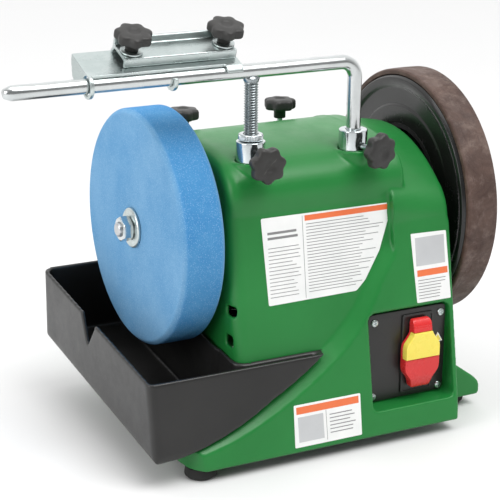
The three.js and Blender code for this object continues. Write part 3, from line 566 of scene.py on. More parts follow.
def plan_prism(i):
    """The housing's outline from above, moved inwards by i, as a tall block."""
    plan = path(
        (BASE_LEFT + 16 + i, FRONT_Y - 2), (FLANK_RIGHT - 8 - i, FRONT_Y - 2),
        ((FLANK_RIGHT - i, FRONT_Y - 2), (FLANK_RIGHT - i, FRONT_Y + 8)), (FLANK_RIGHT - i, 114 - i),
        ((FLANK_RIGHT - i, 122 - i), (FLANK_RIGHT - 8 - i, 122 - i)), (28 + i, 122 - i), (28 + i, -30),
        (BASE_LEFT + i, -95), ((BASE_LEFT - 2 + i, FRONT_Y + 6), (BASE_LEFT + 16 + i, FRONT_Y - 2)),
    )
    return prism_z(plan[:-1], -240, 120)


def tray_floor(y, drop):
    """Height of the sloping tray floor at y, lowered by drop."""
    return TRAY_FRONT_RIM - TRAY_DEPTH - drop + TRAY_SLOPE * (y - front_at(TRAY_FRONT_RIM))


def outrigger(y_front):
    """A stub that carries a foot out under the leather wheel."""
    side = fillet([
        (FLANK_RIGHT - 12, -122), (FLANK_RIGHT + 2, -125), (292, -154), (298, -160), (298, BASE_BOTTOM),
        (FLANK_RIGHT - 12, BASE_BOTTOM),
    ], 3)
    return skin([[(x, y, z) for x, z in side] for y in (y_front, y_front + 44)])


def tray_corners(inset):
    """Blocks that round the tray's upright front corner and its lower left edge."""
    left = TRAY_LEFT + inset

    def round_corner(radius):
        curve = quad((left, radius), (left, 0), (left + radius, 0), 8)
        return [(left, 300), (left, radius), *curve, (250, 0), (250, 300)]

    upright = skin([[(x, y + front_at(z, inset), z) for x, y in round_corner(7 - inset)] for z in (-220, 20)])
    edge = round_corner(9 - inset)
    lower = skin([[(x, y, z + tray_floor(y, -inset)) for x, z in edge] for y in (-FAR, FAR)])
    return common(upright, lower)


def tray_body(inset, clear):
    """The tray as a solid block, moved inwards by inset and held clear of the housing."""
    i, left, back, wall = inset, TRAY_LEFT + inset, TRAY_BACK - inset, COLUMN_LEFT - 3 - inset
    plan = path(
        (left, -160), (200, -160), (200, -90), (COLUMN_LEFT + 15 - i, -90),
        ((COLUMN_LEFT - 0.8 - i, -90), (wall, -70)), (wall, back), (left + 10, back),
        ((left, back), (left, back - 10)),
    )
    rim_back = TRAY_FRONT_RIM + TRAY_SLOPE * (TRAY_BACK - front_at(TRAY_FRONT_RIM, i))
    lift = 30 if inset > 0 else 0
    toe = front_at(-159, i) + 6
    curve = quad((front_at(-152, i), -152), (front_at(-159, i), -158 + i), (toe, tray_floor(toe, -i)), 6)
    section = [
        (front_at(-152, i), -152), *curve, (200, tray_floor(200, -i)),
        (200, rim_back + TRAY_SLOPE * 84 + lift),
        (front_at(TRAY_FRONT_RIM + lift, i), TRAY_FRONT_RIM + lift),
    ]
    envelope = common(common(prism_z(plan, -220, 20), prism_x(section, -80, 220)), tray_corners(inset))
    column = prism_x(column_section(-clear), COLUMN_LEFT - clear, 150, 10)
    band = prism_front(proud_outline(BAND_WIDTH + clear), 6, 60)
    return boolean(envelope, column, band)


def housing_outside():
    left = prism_x(column_section(0), COLUMN_LEFT, 150, 10)
    right = prism_x(column_section(0), 128, COLUMN_RIGHT, 5)
    platform = prism_x([
        (front_at(-200, 4), -200), (front_at(-159, 4), tray_floor(front_at(-159, 4), 1.2)),
        (118, tray_floor(118, 1.2)), (118, -200),
    ], BASE_LEFT, COLUMN_LEFT + 20)
    body = union(left, right, shoulder_body(0, COLUMN_RIGHT - 16, FLANK_RIGHT), proud_body(), platform)
    body = common(common(body, plan_prism(0)), box(-100, 400, -FAR, FAR, BASE_BOTTOM, FAR))
    return union(body, outrigger(-89), outrigger(45))


def housing_inside():
    hollow = union(
        prism_x(column_section(WALL), COLUMN_LEFT + WALL, COLUMN_RIGHT - WALL, 7),
        shoulder_body(WALL + 0.5, COLUMN_RIGHT - 16 + WALL, FLANK_RIGHT - WALL),
        prism_x([
            (front_at(-200, 6), -200), (front_at(-166, 6), -166), (112, tray_floor(112, 6)), (112, -200),
        ], BASE_LEFT - 20, COLUMN_LEFT + 20),
        prism_front(proud_outline(-6), -WALL, 40),
    )
    return common(hollow, plan_prism(WALL))


def housing_bosses():
    bosses = []
    for x in LEGS.values():
        bosses += [
            rod(COLLAR_RADIUS + 3.2, (x, LEG_Y, 30), (x, LEG_Y, 67)),
            rod(13.5, (x, 33, SLEEVE_Z), (x, 94, SLEEVE_Z)),
            rod(8, (x, REAR_KNOB_Y, SLEEVE_Z), (x, REAR_KNOB_Y, REAR_BOSS_TOP)),
        ]
    for x0, x1 in ((COLUMN_LEFT - 1.5, COLUMN_LEFT + 16), (FLANK_RIGHT - 16, FLANK_RIGHT + 1.5)):
        bosses.append(rod(15, (x0, 0, 0), (x1, 0, 0)))
    return bosses


def housing_holes():
    holes = [
        rod(11 + GAP, (30, 0, 0), (280, 0, 0)), rod(9, (230, 0, ROLLER_Z), (280, 0, ROLLER_Z)),
        rod(8.4, (GLAND_X, 90, GLAND_Z), (GLAND_X, 118, GLAND_Z)),
        rod(12, (GLAND_X, 117, GLAND_Z), (GLAND_X, 140, GLAND_Z)),
        box(40, 50, -97, -85, -57, -48), box(40, 50, -96, -84, -83, -74),
    ]
    for x in LEGS.values():
        holes += [
            rod(COLLAR_RADIUS + GAP, (x, LEG_Y, COLLAR_BOTTOM - 10), (x, LEG_Y, 90)),
            rod(10 + GAP, (x, 35, SLEEVE_Z), (x, 120, SLEEVE_Z)),
            rod(STUD_RADIUS, (x, REAR_KNOB_Y, SLEEVE_Z), (x, REAR_KNOB_Y, 90), 24),
        ]
    holes.append(prism_y(rectangle(164.5, 245.5, -151, -68.5, 6), -140, PLATE_Y + PLATE_DEPTH + GAP))
    holes.append(prism_y(rectangle(PADDLE_X - 14, PADDLE_X + 14, -143, -77, 2), -140, PLATE_Y + 20))
    return holes


def make_housing():
    body = housing_outside()
    pocket_walls = common(box(160.5, 249, -135, PLATE_Y + 6.5, -154.5, -65), body)
    body = union(boolean(body, housing_inside()), pocket_walls)
    body = union(boolean(body, tray_body(-0.6, 0)), *housing_bosses())
    body = boolean(body, *housing_holes())
    shown("housing_shell", moulded(body, 1.4, 3), GREEN, "housing", 80)


def make_tray():
    notch = prism_x([(26, -60), (23, -76), (12, -101), (10, -101), (-5, -82), (-8, -60)], -60, -30)
    tray = boolean(tray_body(0, TRAY_CLEARANCE), tray_body(TRAY_WALL, TRAY_CLEARANCE + TRAY_WALL), notch)
    shown("tray_basin", moulded(tray, 1.1, 5), BLACK, "water_tray", 80)


# ---- wheels and shaft
def make_stone_wheel():
    edge = 3.5
    stone = fillet([
        (SHAFT_BORE, 0), (STONE_RADIUS - edge, 0), (STONE_RADIUS, edge), (STONE_RADIUS, STONE_WIDTH - edge),
        (STONE_RADIUS - edge, STONE_WIDTH), (SHAFT_BORE, STONE_WIDTH),
    ], 1.6)
    shown("stone_wheel", turned_x(stone, 192), STONE, "grindstone")


def make_leather_wheel():
    right = LEATHER_FACE + LEATHER_WIDTH

    def seam(turn, radius, x):
        """The glued scarf joint runs across the strip as a shallow nick."""
        at = (turn - 0.6 - (x - LEATHER_FACE) * 0.004 + pi) % tau - pi
        return -0.45 * exp(-(at / 0.006) ** 2) if radius > LEATHER_INNER + 2 else 0

    across = [LEATHER_FACE + 1.4 + (LEATHER_WIDTH - 2.8) * i / 12 for i in range(13)]
    crown = [(LEATHER_RADIUS - 0.35 * ((2 * (x - LEATHER_FACE) / LEATHER_WIDTH - 1) ** 2), x) for x in across]
    hide = [(LEATHER_INNER, LEATHER_FACE), (LEATHER_RADIUS - 1.6, LEATHER_FACE)] + crown
    hide += [(LEATHER_RADIUS - 1.6, right), (LEATHER_INNER, right)]
    shown("leather_strip", turned_x(fillet(hide, 0.6, 2), 360, seam), HIDE, "leather_tyre")
    rim, back, seat = LEATHER_INNER - GAP, DRUM_BACK, RING_OUTER + 0.4
    drum = [
        (SHAFT_BORE, back + 3), (16, back + 3), (16, back + 20), (seat, back + 20), (seat, back + 2),
        (78, back + 2), (80, back + 3), (94, back + 3), (97, back + 1), (100, back), (103.5, back),
        (rim, LEATHER_FACE + GAP), (rim, right - 1), (100, right - 1), (100, back + 24), (20, back + 24),
        (20, right - 3), (SHAFT_BORE, right - 3),
    ]
    shown("wheel_drum", turned_x(fillet(drum, 0.8, 3), 160), DRUM, "drive_drum")


def make_shaft():
    right = LEATHER_FACE + LEATHER_WIDTH
    bore, rim = SHAFT_BORE, WASHER_RADIUS
    outer = [(bore, -3), (16, -3), (rim, -2), (rim, -0.4), (bore, -0.4)]
    hub = [(bore, right - 2.5), (rim, right - 2.5), (rim, right), (bore, right)]
    shown("washer_outer", turned_x(fillet(outer, 0.3, 2), 72), ZINC, "stone_washer")
    shown("washer_hub", turned_x(fillet(hub, 0.4, 2), 72), ZINC, "hub_washer")
    shaft = [(0, -15), (5, -15), (6, -14), (6, 303), (5, 304), (0, 304)]
    shown("shaft_bar", turned_x(fillet(shaft, 0.4, 2, closed=False), 48), STEEL, "spindle_shaft")
    turns = [tau * (i + 0.5) / 6 for i in range(6)]
    corners = [(NUT_RADIUS * cos(t), NUT_RADIUS * sin(t)) for t in turns]
    for name, centre in (("stone_nut", -7.8), ("hub_nut", right + 5)):
        low, high = centre - NUT_HEIGHT / 2, centre + NUT_HEIGHT / 2
        cone = [(0, low), (9.2, low), (11.2, low + 1.2), (11.2, high - 1.2), (9.2, high), (0, high)]
        nut = common(prism_x(corners, low, high), turned_x(cone, 96))
        nut = boolean(nut, rod(BAR_BORE, (centre - 8, 0, 0), (centre + 8, 0, 0), 48))
        nut = evaluated(nut, ("BEVEL", {"width": 0.0003, "segments": 2, "angle_limit": 0.5}))
        shown(name + "_hex", nut, BRIGHT, name, 30)


# ---- knobs
# The neck: height above the seat, radius.
NECK_LEVELS = [(0.0, 4.8), (0.4, 5.3), (6.6, 5.4), (7.6, 6.6)]
# The head: height above its underside, distance in from the lobed outline.
HEAD_BOTTOM, HEAD_HEIGHT = 7.8, 9.8
HEAD_LEVELS = [
    (0.1, 3.4), (0.3, 1.5), (0.9, 0.55), (1.8, 0.1), (3.0, 0.0), (6.6, 0.0), (7.8, 0.25), (8.6, 0.8),
    (9.2, 1.7), (9.5, 2.9), (9.7, 4.6), (HEAD_HEIGHT, 6.6),
]
# The dimple in the middle of the head: depth, radius.
DIMPLE_LEVELS = [(0.05, 5.2), (0.7, 4.4), (1.0, 3.0)]


def lobed(radius, turn):
    """Reach of the outline at an angle: narrow rounded lobes with broad shallow hollows between them."""
    swing = 0.5 - 0.5 * cos(KNOB_LOBES * turn)
    return radius * (1 - 0.155 * swing ** 1.05)


def make_knob(name, radius, place, node, rise=1.0):
    """A lobed knob on its neck; rise scales the height of its head."""
    sides = 168
    turns = [tau * i / sides for i in range(sides)]
    outline = [lobed(radius, t) for t in turns]
    rows = [[(height, reach)] * sides for height, reach in NECK_LEVELS]
    for height, inset in HEAD_LEVELS:
        calm = min(1, inset / 7)
        rows.append([(HEAD_BOTTOM + height * rise, r + (radius * 0.93 - r) * calm - inset) for r in outline])
    top = HEAD_BOTTOM + HEAD_HEIGHT * rise
    rows += [[(top - depth, reach)] * sides for depth, reach in DIMPLE_LEVELS]
    bm = bmesh.new()
    skins = []
    for row in rows:
        points = [(r * cos(t), r * sin(t), h) for (h, r), t in zip(row, turns)]
        skins.append([bm.verts.new(place @ Vector(point)) for point in points])
    for low, high in zip(skins, skins[1:]):
        for i in range(sides):
            j = (i + 1) % sides
            bm.faces.new((low[i], low[j], high[j], high[i]))
    for row, height in ((skins[0], 0.0), (skins[-1], top - 1.1)):
        middle = bm.verts.new(place @ Vector((0, 0, height)))
        for i in range(sides):
            bm.faces.new((row[i], row[(i + 1) % sides], middle))
    bmesh.ops.recalc_face_normals(bm, faces=bm.faces)
    shown(name, to_mesh(bm), KNOB, node, 60)


def make_knobs():
    for side, x in LEGS.items():
        spin = Matrix.Rotation(0.2 if side == "left" else 0.5, 4, "Z")
        leg = Matrix.Translation((x, LEG_Y, FRONT_KNOB_Z)) @ Matrix.Rotation(KNOB_SWING[side], 4, "Z")
        front = leg @ Matrix.Translation((0, -KNOB_REACH, 0)) @ FACING_FRONT @ spin
        rear = Matrix.Translation((x, REAR_KNOB_Y, REAR_KNOB_Z)) @ spin
        make_knob(f"front_knob_{side}", FRONT_KNOB_RADIUS, front, f"front_{side}_knob")
        make_knob(f"rear_knob_{side}", REAR_KNOB_RADIUS, rear, f"rear_{side}_knob")
    for side, x in JIG_KNOBS.items():
        place = JIG_PLACE @ Matrix.Translation((x, JIG_KNOB_BACK, 19.2))
        make_knob(f"jig_knob_{side}_star", JIG_KNOB_RADIUS, place, f"jig_knob_{side}", 0.86)


# ---- support
def make_collars():
    for side, x in LEGS.items():
        profile = fillet([
            (BAR_BORE, COLLAR_BOTTOM), (COLLAR_RADIUS, COLLAR_BOTTOM), (COLLAR_RADIUS, COLLAR_TOP),
            (BAR_BORE, COLLAR_TOP),
        ], 1.1)
        ring = turned(profile, 96, Matrix.Translation((x, LEG_Y, 0)))
        reach = Matrix.Rotation(KNOB_SWING[side], 3, "Z") @ Vector((0, -20, 0))
        centre = Vector((x, LEG_Y, FRONT_KNOB_Z))
        ring = boolean(ring, rod(STUD_RADIUS, centre + reach, centre, 32))
        shown(f"collar_ring_{side}", ring, BRIGHT, f"collar_{side}", 45)


def make_bar():
    """The chrome bar: a rounded tip, a straight run, a bend and the right leg."""
    bend_x, bend_z, start = LEG_RIGHT - BEND_RADIUS, BAR_HEIGHT - BEND_RADIUS, BAR_TIP + 6.4
    # Each station is (x, z, turn of the section, radius).
    stations = [(BAR_TIP, BAR_HEIGHT, 0, 3.2), (BAR_TIP + 0.3, BAR_HEIGHT, 0, 3.8)]
    stations += [(BAR_TIP + 5.4, BAR_HEIGHT, 0, 5.75), (start, BAR_HEIGHT, 0, BAR_RADIUS)]
    stations += [(start + (bend_x - BAR_TIP - 6.4) * i / 12, BAR_HEIGHT, 0, BAR_RADIUS) for i in range(1, 12)]
    for t in quarter(16) + [pi / 2]:
        stations.append((bend_x + BEND_RADIUS * sin(t), bend_z + BEND_RADIUS * cos(t), t, BAR_RADIUS))
    drop = (bend_z - LEG_BOTTOM - 1) / 8
    stations += [(LEG_RIGHT, bend_z - drop * i, pi / 2, BAR_RADIUS) for i in range(1, 9)]
    stations.append((LEG_RIGHT, LEG_BOTTOM, pi / 2, 5))
    sides = 40
    rings = []
    for x, z, t, radius in stations:
        ring = []
        for i in range(sides):
            turn = tau * i / sides
            up, side = radius * cos(turn), radius * sin(turn)
            ring.append((x + up * sin(t), LEG_Y + side, z + up * cos(t)))
        rings.append(ring)
    shown("support_rod", skin(rings), CHROME, "support_bar", 50)


def make_threaded_leg():
    """The left leg: a cut thread that fades out below the weld, which flares along the bar."""
    steps, sides = 8, 48
    rings = []
    rows = int((BAR_HEIGHT - 2 - LEG_BOTTOM) / THREAD_PITCH * steps)
    for k in range(rows + 1):
        z = LEG_BOTTOM + k * THREAD_PITCH / steps
        fade = min(1, (z - LEG_BOTTOM) / 3, max(0, (BAR_HEIGHT - 8 - z) / 2))
        weld = 1 + 0.24 * max(0, 1 - abs(z - BAR_HEIGHT + 5.6) / 4) ** 1.5
        sink = 1 - 0.4 * min(1, max(0, (z - BAR_HEIGHT + 6) / 3))
        ring = []
        for i in range(sides):
            groove = abs((z / THREAD_PITCH - i / sides) % 1 - 0.5) * 2
            radius = 5.95 - THREAD_DEPTH * fade * min(1, max(0, groove * 1.25 - 0.1))
            turn = tau * i / sides
            ring.append((LEG_LEFT + radius * weld * cos(turn), LEG_Y + radius * sink * sin(turn), z))
        rings.append(ring)
    shown("screw_leg", skin(rings), THREAD, "threaded_leg", 60)

    def knurl(turn, radius, height):
        return 0.22 * cos(48 * turn) if radius > 9.2 else 0

    low = COLLAR_TOP + GAP
    nut = fillet([
        (BAR_BORE, low), (9, low), (10, low + 1), (10, low + 4.65), (9, low + 5.65), (BAR_BORE, low + 5.65),
    ], 0.5, 2)
    nut = turned(nut, 384, Matrix.Translation((LEG_LEFT, LEG_Y, 0)), knurl)
    shown("height_nut", nut, BRIGHT, "adjust_nut", 60)


# ---- jig
JIG_PLACE = Matrix.Translation((0, LEG_Y, BAR_HEIGHT)) @ Matrix.Rotation(JIG_TILT, 4, "X")


def jig_prism(section, x0, x1):
    """A section drawn about the bar's centre, (back, out of the plate), drawn out along the bar."""
    return skin([[JIG_PLACE @ Vector((x, a, b)) for a, b in section] for x in (x0, x1)])


def stud_holes(b0, b1):
    """Rods through both jig knobs' centres, from b0 to b1 out of the bar's centre."""
    ends = [[JIG_PLACE @ Vector((x, JIG_KNOB_BACK, b)) for b in (b0, b1)] for x in JIG_KNOBS.values()]
    return [rod(STUD_BORE, start, end) for start, end in ends]


def bar_hole(radius, x0, x1):
    return rod(radius, JIG_PLACE @ Vector((x0, 0, 0)), JIG_PLACE @ Vector((x1, 0, 0)), 64)


def make_jig_plate():
    """The flat plate, the tab and lug that hook round the bar, and the flange at its left end."""
    inner, outer, turn = BAR_RADIUS + 0.5, BAR_RADIUS + 3.0, pi
    tab = arc(0, 0, outer, turn * 0.5, turn * 0.83) + arc(0, 0, inner, turn * 0.83, turn * 0.5)
    flange = [(0, outer)] + arc(0, 0, outer + 1.2, turn * 0.62, turn * 1.64, 30)
    flange += fillet([(5.5, -9), (27, -9), (33.5, 4), (33.5, outer)], 4, 5, closed=False)[1:]
    hook = arc(0, 0, outer + 1, turn * 0.84, turn * 1.7)
    lug = [(0, outer - 1), (0, 0), *hook, (11, -6), (11, outer - 1)]
    corners = fillet([(JIG_LEFT, -1), (JIG_RIGHT, -1), (JIG_RIGHT, 34), (JIG_LEFT, 34)], 2.5, 5)
    flat = skin([[JIG_PLACE @ Vector((x, a, b)) for x, a in corners] for b in (inner, outer)])
    plate = union(
        flat, jig_prism(tab, JIG_RIGHT - 14, JIG_RIGHT), jig_prism(flange, JIG_LEFT, JIG_LEFT + 3),
        jig_prism(lug, 2, 5),
    )
    around = bar_hole(inner + 1.2, JIG_LEFT - 1, JIG_LEFT + 3.2)
    plate = boolean(plate, bar_hole(inner, -FAR, FAR), around, *stud_holes(0, 20))
    shown("jig_base", moulded(plate, 0.5, 3), ZINC, "jig_plate", 60)


def make_jig_clamp():
    """The bent strip that the knobs press down, and the washers under the knobs."""
    low = BAR_RADIUS + 3.0
    hat = fillet([
        (5.5, low + GAP), (8, low + GAP), (8, low + 5.5), (27, low + 5.5), (30, low + GAP), (33, low + GAP),
        (33, low + 2.5), (31, low + 3), (30, low + 14), (27.5, low + 14), (27.5, low + 8), (6, low + 8),
        (5.5, low + 7),
    ], 0.8, 3)
    clamp = boolean(jig_prism(hat, -36, JIG_RIGHT - 2), *stud_holes(0, 40))
    shown("jig_hat", moulded(clamp, 0.5, 2), ZINC, "jig_clamp", 60)
    top = low + 8 + GAP
    for side, x in JIG_KNOBS.items():
        ring = fillet([(STUD_BORE, top), (9, top), (9, top + 1.5), (STUD_BORE, top + 1.5)], 0.35, 2)
        place = JIG_PLACE @ Matrix.Translation((x, JIG_KNOB_BACK, 0))
        shown(f"jig_ring_{side}", turned(ring, 72, place), ZINC, f"jig_washer_{side}")


# ---- switch
def paddle_outline(shrink):
    """The paddle's front outline in (x, z), with its widest part drawn in by shrink."""
    half = [(9, -77.5), (9, -90), (17 - shrink, -100), (17 - shrink, -123), (11, -131), (9, -139.5)]
    return [(PADDLE_X - 9, -77.5)] + [(PADDLE_X + x, z) for x, z in half] + [
        (PADDLE_X - x, z) for x, z in reversed(half[1:])
    ]


def around_paddle(side, bottom, top, radius):
    return rectangle(PADDLE_X - side, PADDLE_X + side, bottom, top, radius)


def make_switch_screws():
    profile = [(0, -2), (1.5, -2), (1.5, 0), (3.1, 0), (3.2, 0.45), (2.8, 1.1), (1.8, 1.5), (0, 1.6)]
    slot = [(-1.9, -0.35), (1.9, -0.35), (1.9, 0.35), (-1.9, 0.35)]
    for i, (x, z) in enumerate(SCREWS):
        place = Matrix.Translation((x, PLATE_Y - GAP, z)) @ FACING_FRONT
        slots = []
        for turn in (0.4, 0.4 + pi / 2):
            cross = place @ Matrix.Rotation(turn, 4, "Z")
            slots.append(skin([[cross @ Vector((p, q, w)) for p, q in slot] for w in (0.6, 3.0)]))
        screw = boolean(turned(profile, 48, place), *slots)
        shown(f"cross_screw_{i + 1}", screw, ZINC, f"plate_screw_{i + 1}", 30)


def make_switch_plate():
    plate = prism_y(rectangle(166, 243.8, -149, -70, 5), PLATE_Y, PLATE_Y + PLATE_DEPTH, 0.6)
    plate = boolean(plate, prism_y(around_paddle(13.5, -142.5, -77.5, 2), PLATE_Y - 5, PLATE_Y + 8))
    plate = boolean(plate, *[rod(1.9, (x, PLATE_Y - 5, z), (x, PLATE_Y + 8, z), 24) for x, z in SCREWS])
    shown("switch_bezel", plate, BLACK, "switch_plate", 35)
    face = PLATE_Y - GAP - 1.4
    body = union(
        prism_y(around_paddle(15.5, -145.5, -74.5, 2), face, PLATE_Y - GAP, 0.4),
        prism_y(around_paddle(13, -142, -78, 2), PLATE_Y - GAP - 0.5, PLATE_Y + 34),
    )
    body = boolean(body, prism_y(around_paddle(13.7, -143.7, -76.3, 1.2), face - 2, face + 0.7))
    shown("switch_block", body, BLACK, "switch_body", 35)


def make_paddle():
    """The red flap with three finger grooves, and the yellow key that sits across it."""
    x, front, back = PADDLE_X, PADDLE_FRONT, PADDLE_BACK
    side = fillet([
        (back, -139.5), (front + 3, -139.5), (front, -130), (front, -90), (front + 1.2, -82),
        (front + 4.5, -77.5), (back, -77.5),
    ], 3, 5)
    slab = common(prism_y(fillet(paddle_outline(0), 3, 4), front, back), prism_x(side, x - 30, x + 30))
    seat = back - 2.4
    slab = boolean(slab, prism_y(around_paddle(30, KEY_BOTTOM - 0.4, KEY_TOP + 0.4, 1), -130, seat))
    for row in range(3):
        low = -86.6 + row * 2.3
        groove = [(x - 12, low), (x + 12, low), (x + 12, low + 0.6), (x - 12, low + 0.6)]
        slab = boolean(slab, prism_y(groove, front - 2, front + 0.8 + 0.45 * row))
    shown("switch_flap", moulded(slab, 0.35, 4), RED, "switch_paddle", 70)
    key = prism_y(fillet(paddle_outline(0.3), 3, 4), front - 0.9, seat - GAP)
    key = common(key, prism_y(around_paddle(30, KEY_BOTTOM, KEY_TOP, 1), -130, -100))
    shown("switch_key", moulded(key, 0.35, 4), YELLOW, "safety_key", 70)


# ---- feet and gland
def make_feet_and_gland():
    top = BASE_BOTTOM - GAP
    foot = fillet([
        (0, FLOOR_Z), (11.4, FLOOR_Z), (13.4, FLOOR_Z + 2), (13.5, FLOOR_Z + 3.5), (12.6, top), (0, top),
    ], 0.7, 3, closed=False)
    for name in ("foot_front_left", "foot_rear_left", "foot_front_right", "foot_rear_right"):
        low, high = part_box(name)
        centre = ((low + high) / 2 - ORIGIN) * 1000
        shown(name + "_pad", turned(foot, 72, Matrix.Translation((centre.x, centre.y, 0))), RUBBER, name)
    gland = fillet([(3.5, 0), (8, 0), (8, 12), (11, 12), (11, 16), (7, 24), (3.5, 24)], 0.6, 3)
    place = Matrix.Translation((GLAND_X, 105, GLAND_Z)) @ Matrix.Rotation(-pi / 2, 4, "X")
    shown("gland_boot", turned(gland, 72, place), BLACK, "cord_gland")


# ---- plain labels
def on_column(x, height, out):
    """A point on the leaning front of the column at a height, and its distance out of it."""
    lean = atan(COLUMN_LEAN)
    return (x, column_at(height) - out * cos(lean), height + out * sin(lean))


# Which of a label's materials a bar takes.
ORANGE_BAR, GREY_BAR, PALE_BAR = 1, 2, 3


def label(name, outline, surface, bars, ground=PAPER):
    """A plain plate with coloured bars on a surface; each bar is (which material, x0, x1, z0, z1)."""
    bm = bmesh.new()

    def slab(points, low, high, index):
        rings = [[bm.verts.new(surface(x, h, w)) for x, h in points] for w in (low, high)]
        faces = [bm.faces.new(rings[1]), bm.faces.new(list(reversed(rings[0])))]
        for face in faces + strip(bm, *rings):
            face.material_index = index

    slab(outline, -0.4, 0.22, 0)
    for index, x0, x1, z0, z1 in bars:
        slab([(x0, z0), (x1, z0), (x1, z1), (x0, z1)], 0.1, 0.3, index)
    bmesh.ops.recalc_face_normals(bm, faces=bm.faces)
    shown(name, to_mesh(bm), [ground, ORANGE, GREY, PALE], "housing", 30, replaces=False)


def lines(draw, x0, x1, top, bottom, pitch, thick, right_edge=None):
    """Rows of thin bars of uneven length between two heights."""
    bars = []
    z = top
    while z - thick > bottom:
        end = min(x1, right_edge(z - thick) - 2) if right_edge else x1
        stop = x0 + (end - x0) * (0.72 + 0.28 * draw.random())
        bars.append((GREY_BAR, x0, stop, z - thick, z))
        z -= pitch
    return bars


def make_labels():
    draw = random.Random(5)

    def slanted(z):
        spots = [(22, 198), (-18, 183), (-41, 168), (-49, 159)]
        for (za, xa), (zb, xb) in zip(spots, spots[1:]):
            if zb <= z <= za:
                return xa + (xb - xa) * (z - za) / (zb - za)
        return spots[-1][1]

    outline = fillet([(72.8, 22), (76, -50), (159, -49), (168, -41), (183, -18), (198, 21)], 1.5, 3)
    bars = [(ORANGE_BAR, 113, 195.5, 15.5, 20)]
    bars += lines(draw, 78, 108, 10, 0, 4.2, 2.0)
    bars += lines(draw, 78, 108, -3, -46, 3.1, 0.55)
    bars += lines(draw, 114, 190, 13, -46, 2.55, 0.55, slanted)
    bars += [(GREY_BAR, 110.6, 111.0, -48, 20)]
    label("plate_main", outline, on_column, bars)

    def up(z):
        """The length up the leaning front that ends at height z."""
        return BASE_BOTTOM + (z - BASE_BOTTOM) / cos(FRONT_ANGLE)

    outline = fillet([(210, up(-6)), (213, up(-65)), (247, up(-65)), (245.4, up(-7))], 1, 3)
    bars = [(PALE_BAR, 214, 243, up(-34), up(-10)), (ORANGE_BAR, 214.5, 245, up(-43), up(-37.5))]
    bars += lines(draw, 215, 243, up(-46), up(-62), 2.6, 0.6)
    label("plate_side", outline, on_front, bars)
    outline = fillet([(88, up(-131.5)), (87, up(-167)), (151, up(-167)), (151.6, up(-131.7))], 1, 3)
    bars = [
        (ORANGE_BAR, 90, 149.6, up(-139.5), up(-133.5)), (GREY_BAR, 117.6, 118.0, up(-165), up(-140)),
        (PALE_BAR, 91, 115, up(-163), up(-142)),
    ]
    bars += lines(draw, 121, 148, up(-144), up(-163), 3.1, 0.8)
    label("plate_low", outline, on_front, bars)

    def triangle(size, radius):
        turns = [tau * k / 3 for k in (0, 2, 1)]
        return fillet([(236.5 + size * sin(t), -101 + size * cos(t)) for t in turns], radius, 3)

    def on_plate(lift):
        return lambda x, z, w: (x, PLATE_Y - lift - w, z)

    label("plate_mark", triangle(5.6, 0.8), on_plate(0.45), [])
    label("plate_mark_centre", triangle(3.9, 0.5), on_plate(0.6), [], YELLOW)


make_housing()
make_tray()
make_stone_wheel()
make_leather_wheel()
make_shaft()
make_knobs()
make_collars()
make_bar()
make_threaded_leg()
make_jig_plate()
make_jig_clamp()
make_switch_plate()
make_switch_screws()
make_paddle()
make_feet_and_gland()
make_labels()


# ---- studio
def make_floor():
    bm = bmesh.new()
    bmesh.ops.create_grid(bm, x_segments=2, y_segments=2, size=25.0)
    floor_mesh = bpy.data.meshes.new("floor")
    bm.to_mesh(floor_mesh)
    bm.free()
    floor = linked("studio_floor", floor_mesh)
    n = Nodes("studio_white", 0.75)
    floor_mesh.materials.append(n.finish(n.colour(n.noise(2), (0.73, 0.73, 0.73), (0.75, 0.75, 0.75))))


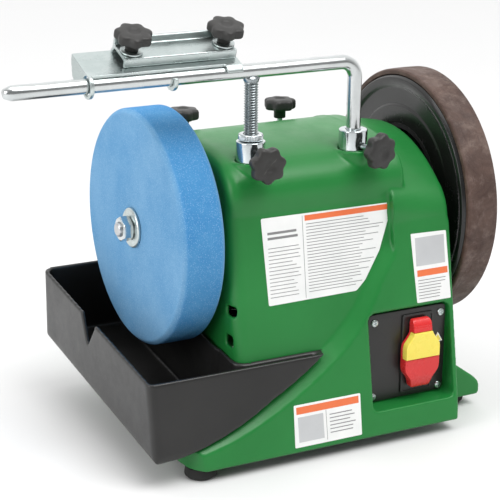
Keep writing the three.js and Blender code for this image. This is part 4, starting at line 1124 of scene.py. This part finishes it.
def make_world():
    """A soft white sky, bright behind the object and dim on the camera's side."""
    world = bpy.data.worlds.new("studio")
    bpy.context.scene.world = world
    world.use_nodes = True
    tree = world.node_tree
    direction = tree.nodes.new("ShaderNodeTexCoord").outputs["Generated"]
    facing = tree.nodes.new("ShaderNodeVectorMath")
    facing.operation = "DOT_PRODUCT"
    facing.inputs[1].default_value = (0.45, 0.82, 0.35)
    tree.links.new(direction, facing.inputs[0])
    sky = tree.nodes.new("ShaderNodeMapRange")
    sky.interpolation_type = "SMOOTHSTEP"
    for key, value in (("From Min", -0.5), ("From Max", 1.0), ("To Min", 0.28), ("To Max", 1.25)):
        sky.inputs[key].default_value = value
    tree.links.new(facing.outputs["Value"], sky.inputs["Value"])
    tree.links.new(sky.outputs["Result"], tree.nodes["Background"].inputs["Strength"])
    tree.nodes["Background"].inputs["Color"].default_value = (1, 1, 1, 1)


def hang(name, data, place, aim):
    """A lamp that shines from its place along aim."""
    lamp = linked(name, data)
    lamp.location = place
    lamp.rotation_euler = aim.to_track_quat("-Z", "Y").to_euler()


def make_lamps():
    middle = Vector((0, 0, 0.18))
    lamps = [
        ("key", (0.6, -1.3, 1.9), 1.1, 9), ("fill", (-1.8, -0.3, 0.9), 1.2, 18),
        ("top", (-0.3, -0.1, 1.9), 1, 6),
    ]
    for name, place, size, power in lamps:
        data = bpy.data.lights.new(name, "AREA")
        data.shape = "RECTANGLE"
        data.size = data.size_y = size
        data.energy = power
        hang(name, data, place, middle - Vector(place))
    data = bpy.data.lights.new("overhead", "SUN")
    data.energy, data.angle = 1.5, 0.6
    hang("overhead", data, (0, 0, 0), -Vector((0.25, -0.45, 1.0)))


def make_camera():
    """The view fitted to the photo: focal length and image centre are in pixels of its width."""
    width, focal, centre_x, centre_y = 500, 1650.08, 248.28, 248.71
    yaw, pitch, roll = radians(27.53), radians(17.46), radians(0.43)
    forward = Vector((sin(yaw) * cos(pitch), cos(yaw) * cos(pitch), -sin(pitch)))
    right = Vector((cos(yaw), -sin(yaw), 0))
    up = right.cross(forward)
    right, up = right * cos(roll) + up * sin(roll), up * cos(roll) - right * sin(roll)
    data = bpy.data.cameras.new("camera")
    data.sensor_width = 36
    data.lens = focal * data.sensor_width / width
    data.shift_x, data.shift_y = (width / 2 - centre_x) / width, (centre_y - width / 2) / width
    data.clip_start, data.clip_end = 0.05, 30
    camera = linked("camera", data)
    turn = Matrix((right, up, -forward)).transposed().to_4x4()
    camera.matrix_world = Matrix.Translation(TO_ROW @ Vector((-525.94, -1218.27, 398.37))) @ turn
    bpy.context.scene.camera = camera


make_floor()
make_world()
make_lamps()
make_camera()
bpy.context.scene.view_settings.view_transform = "Standard"
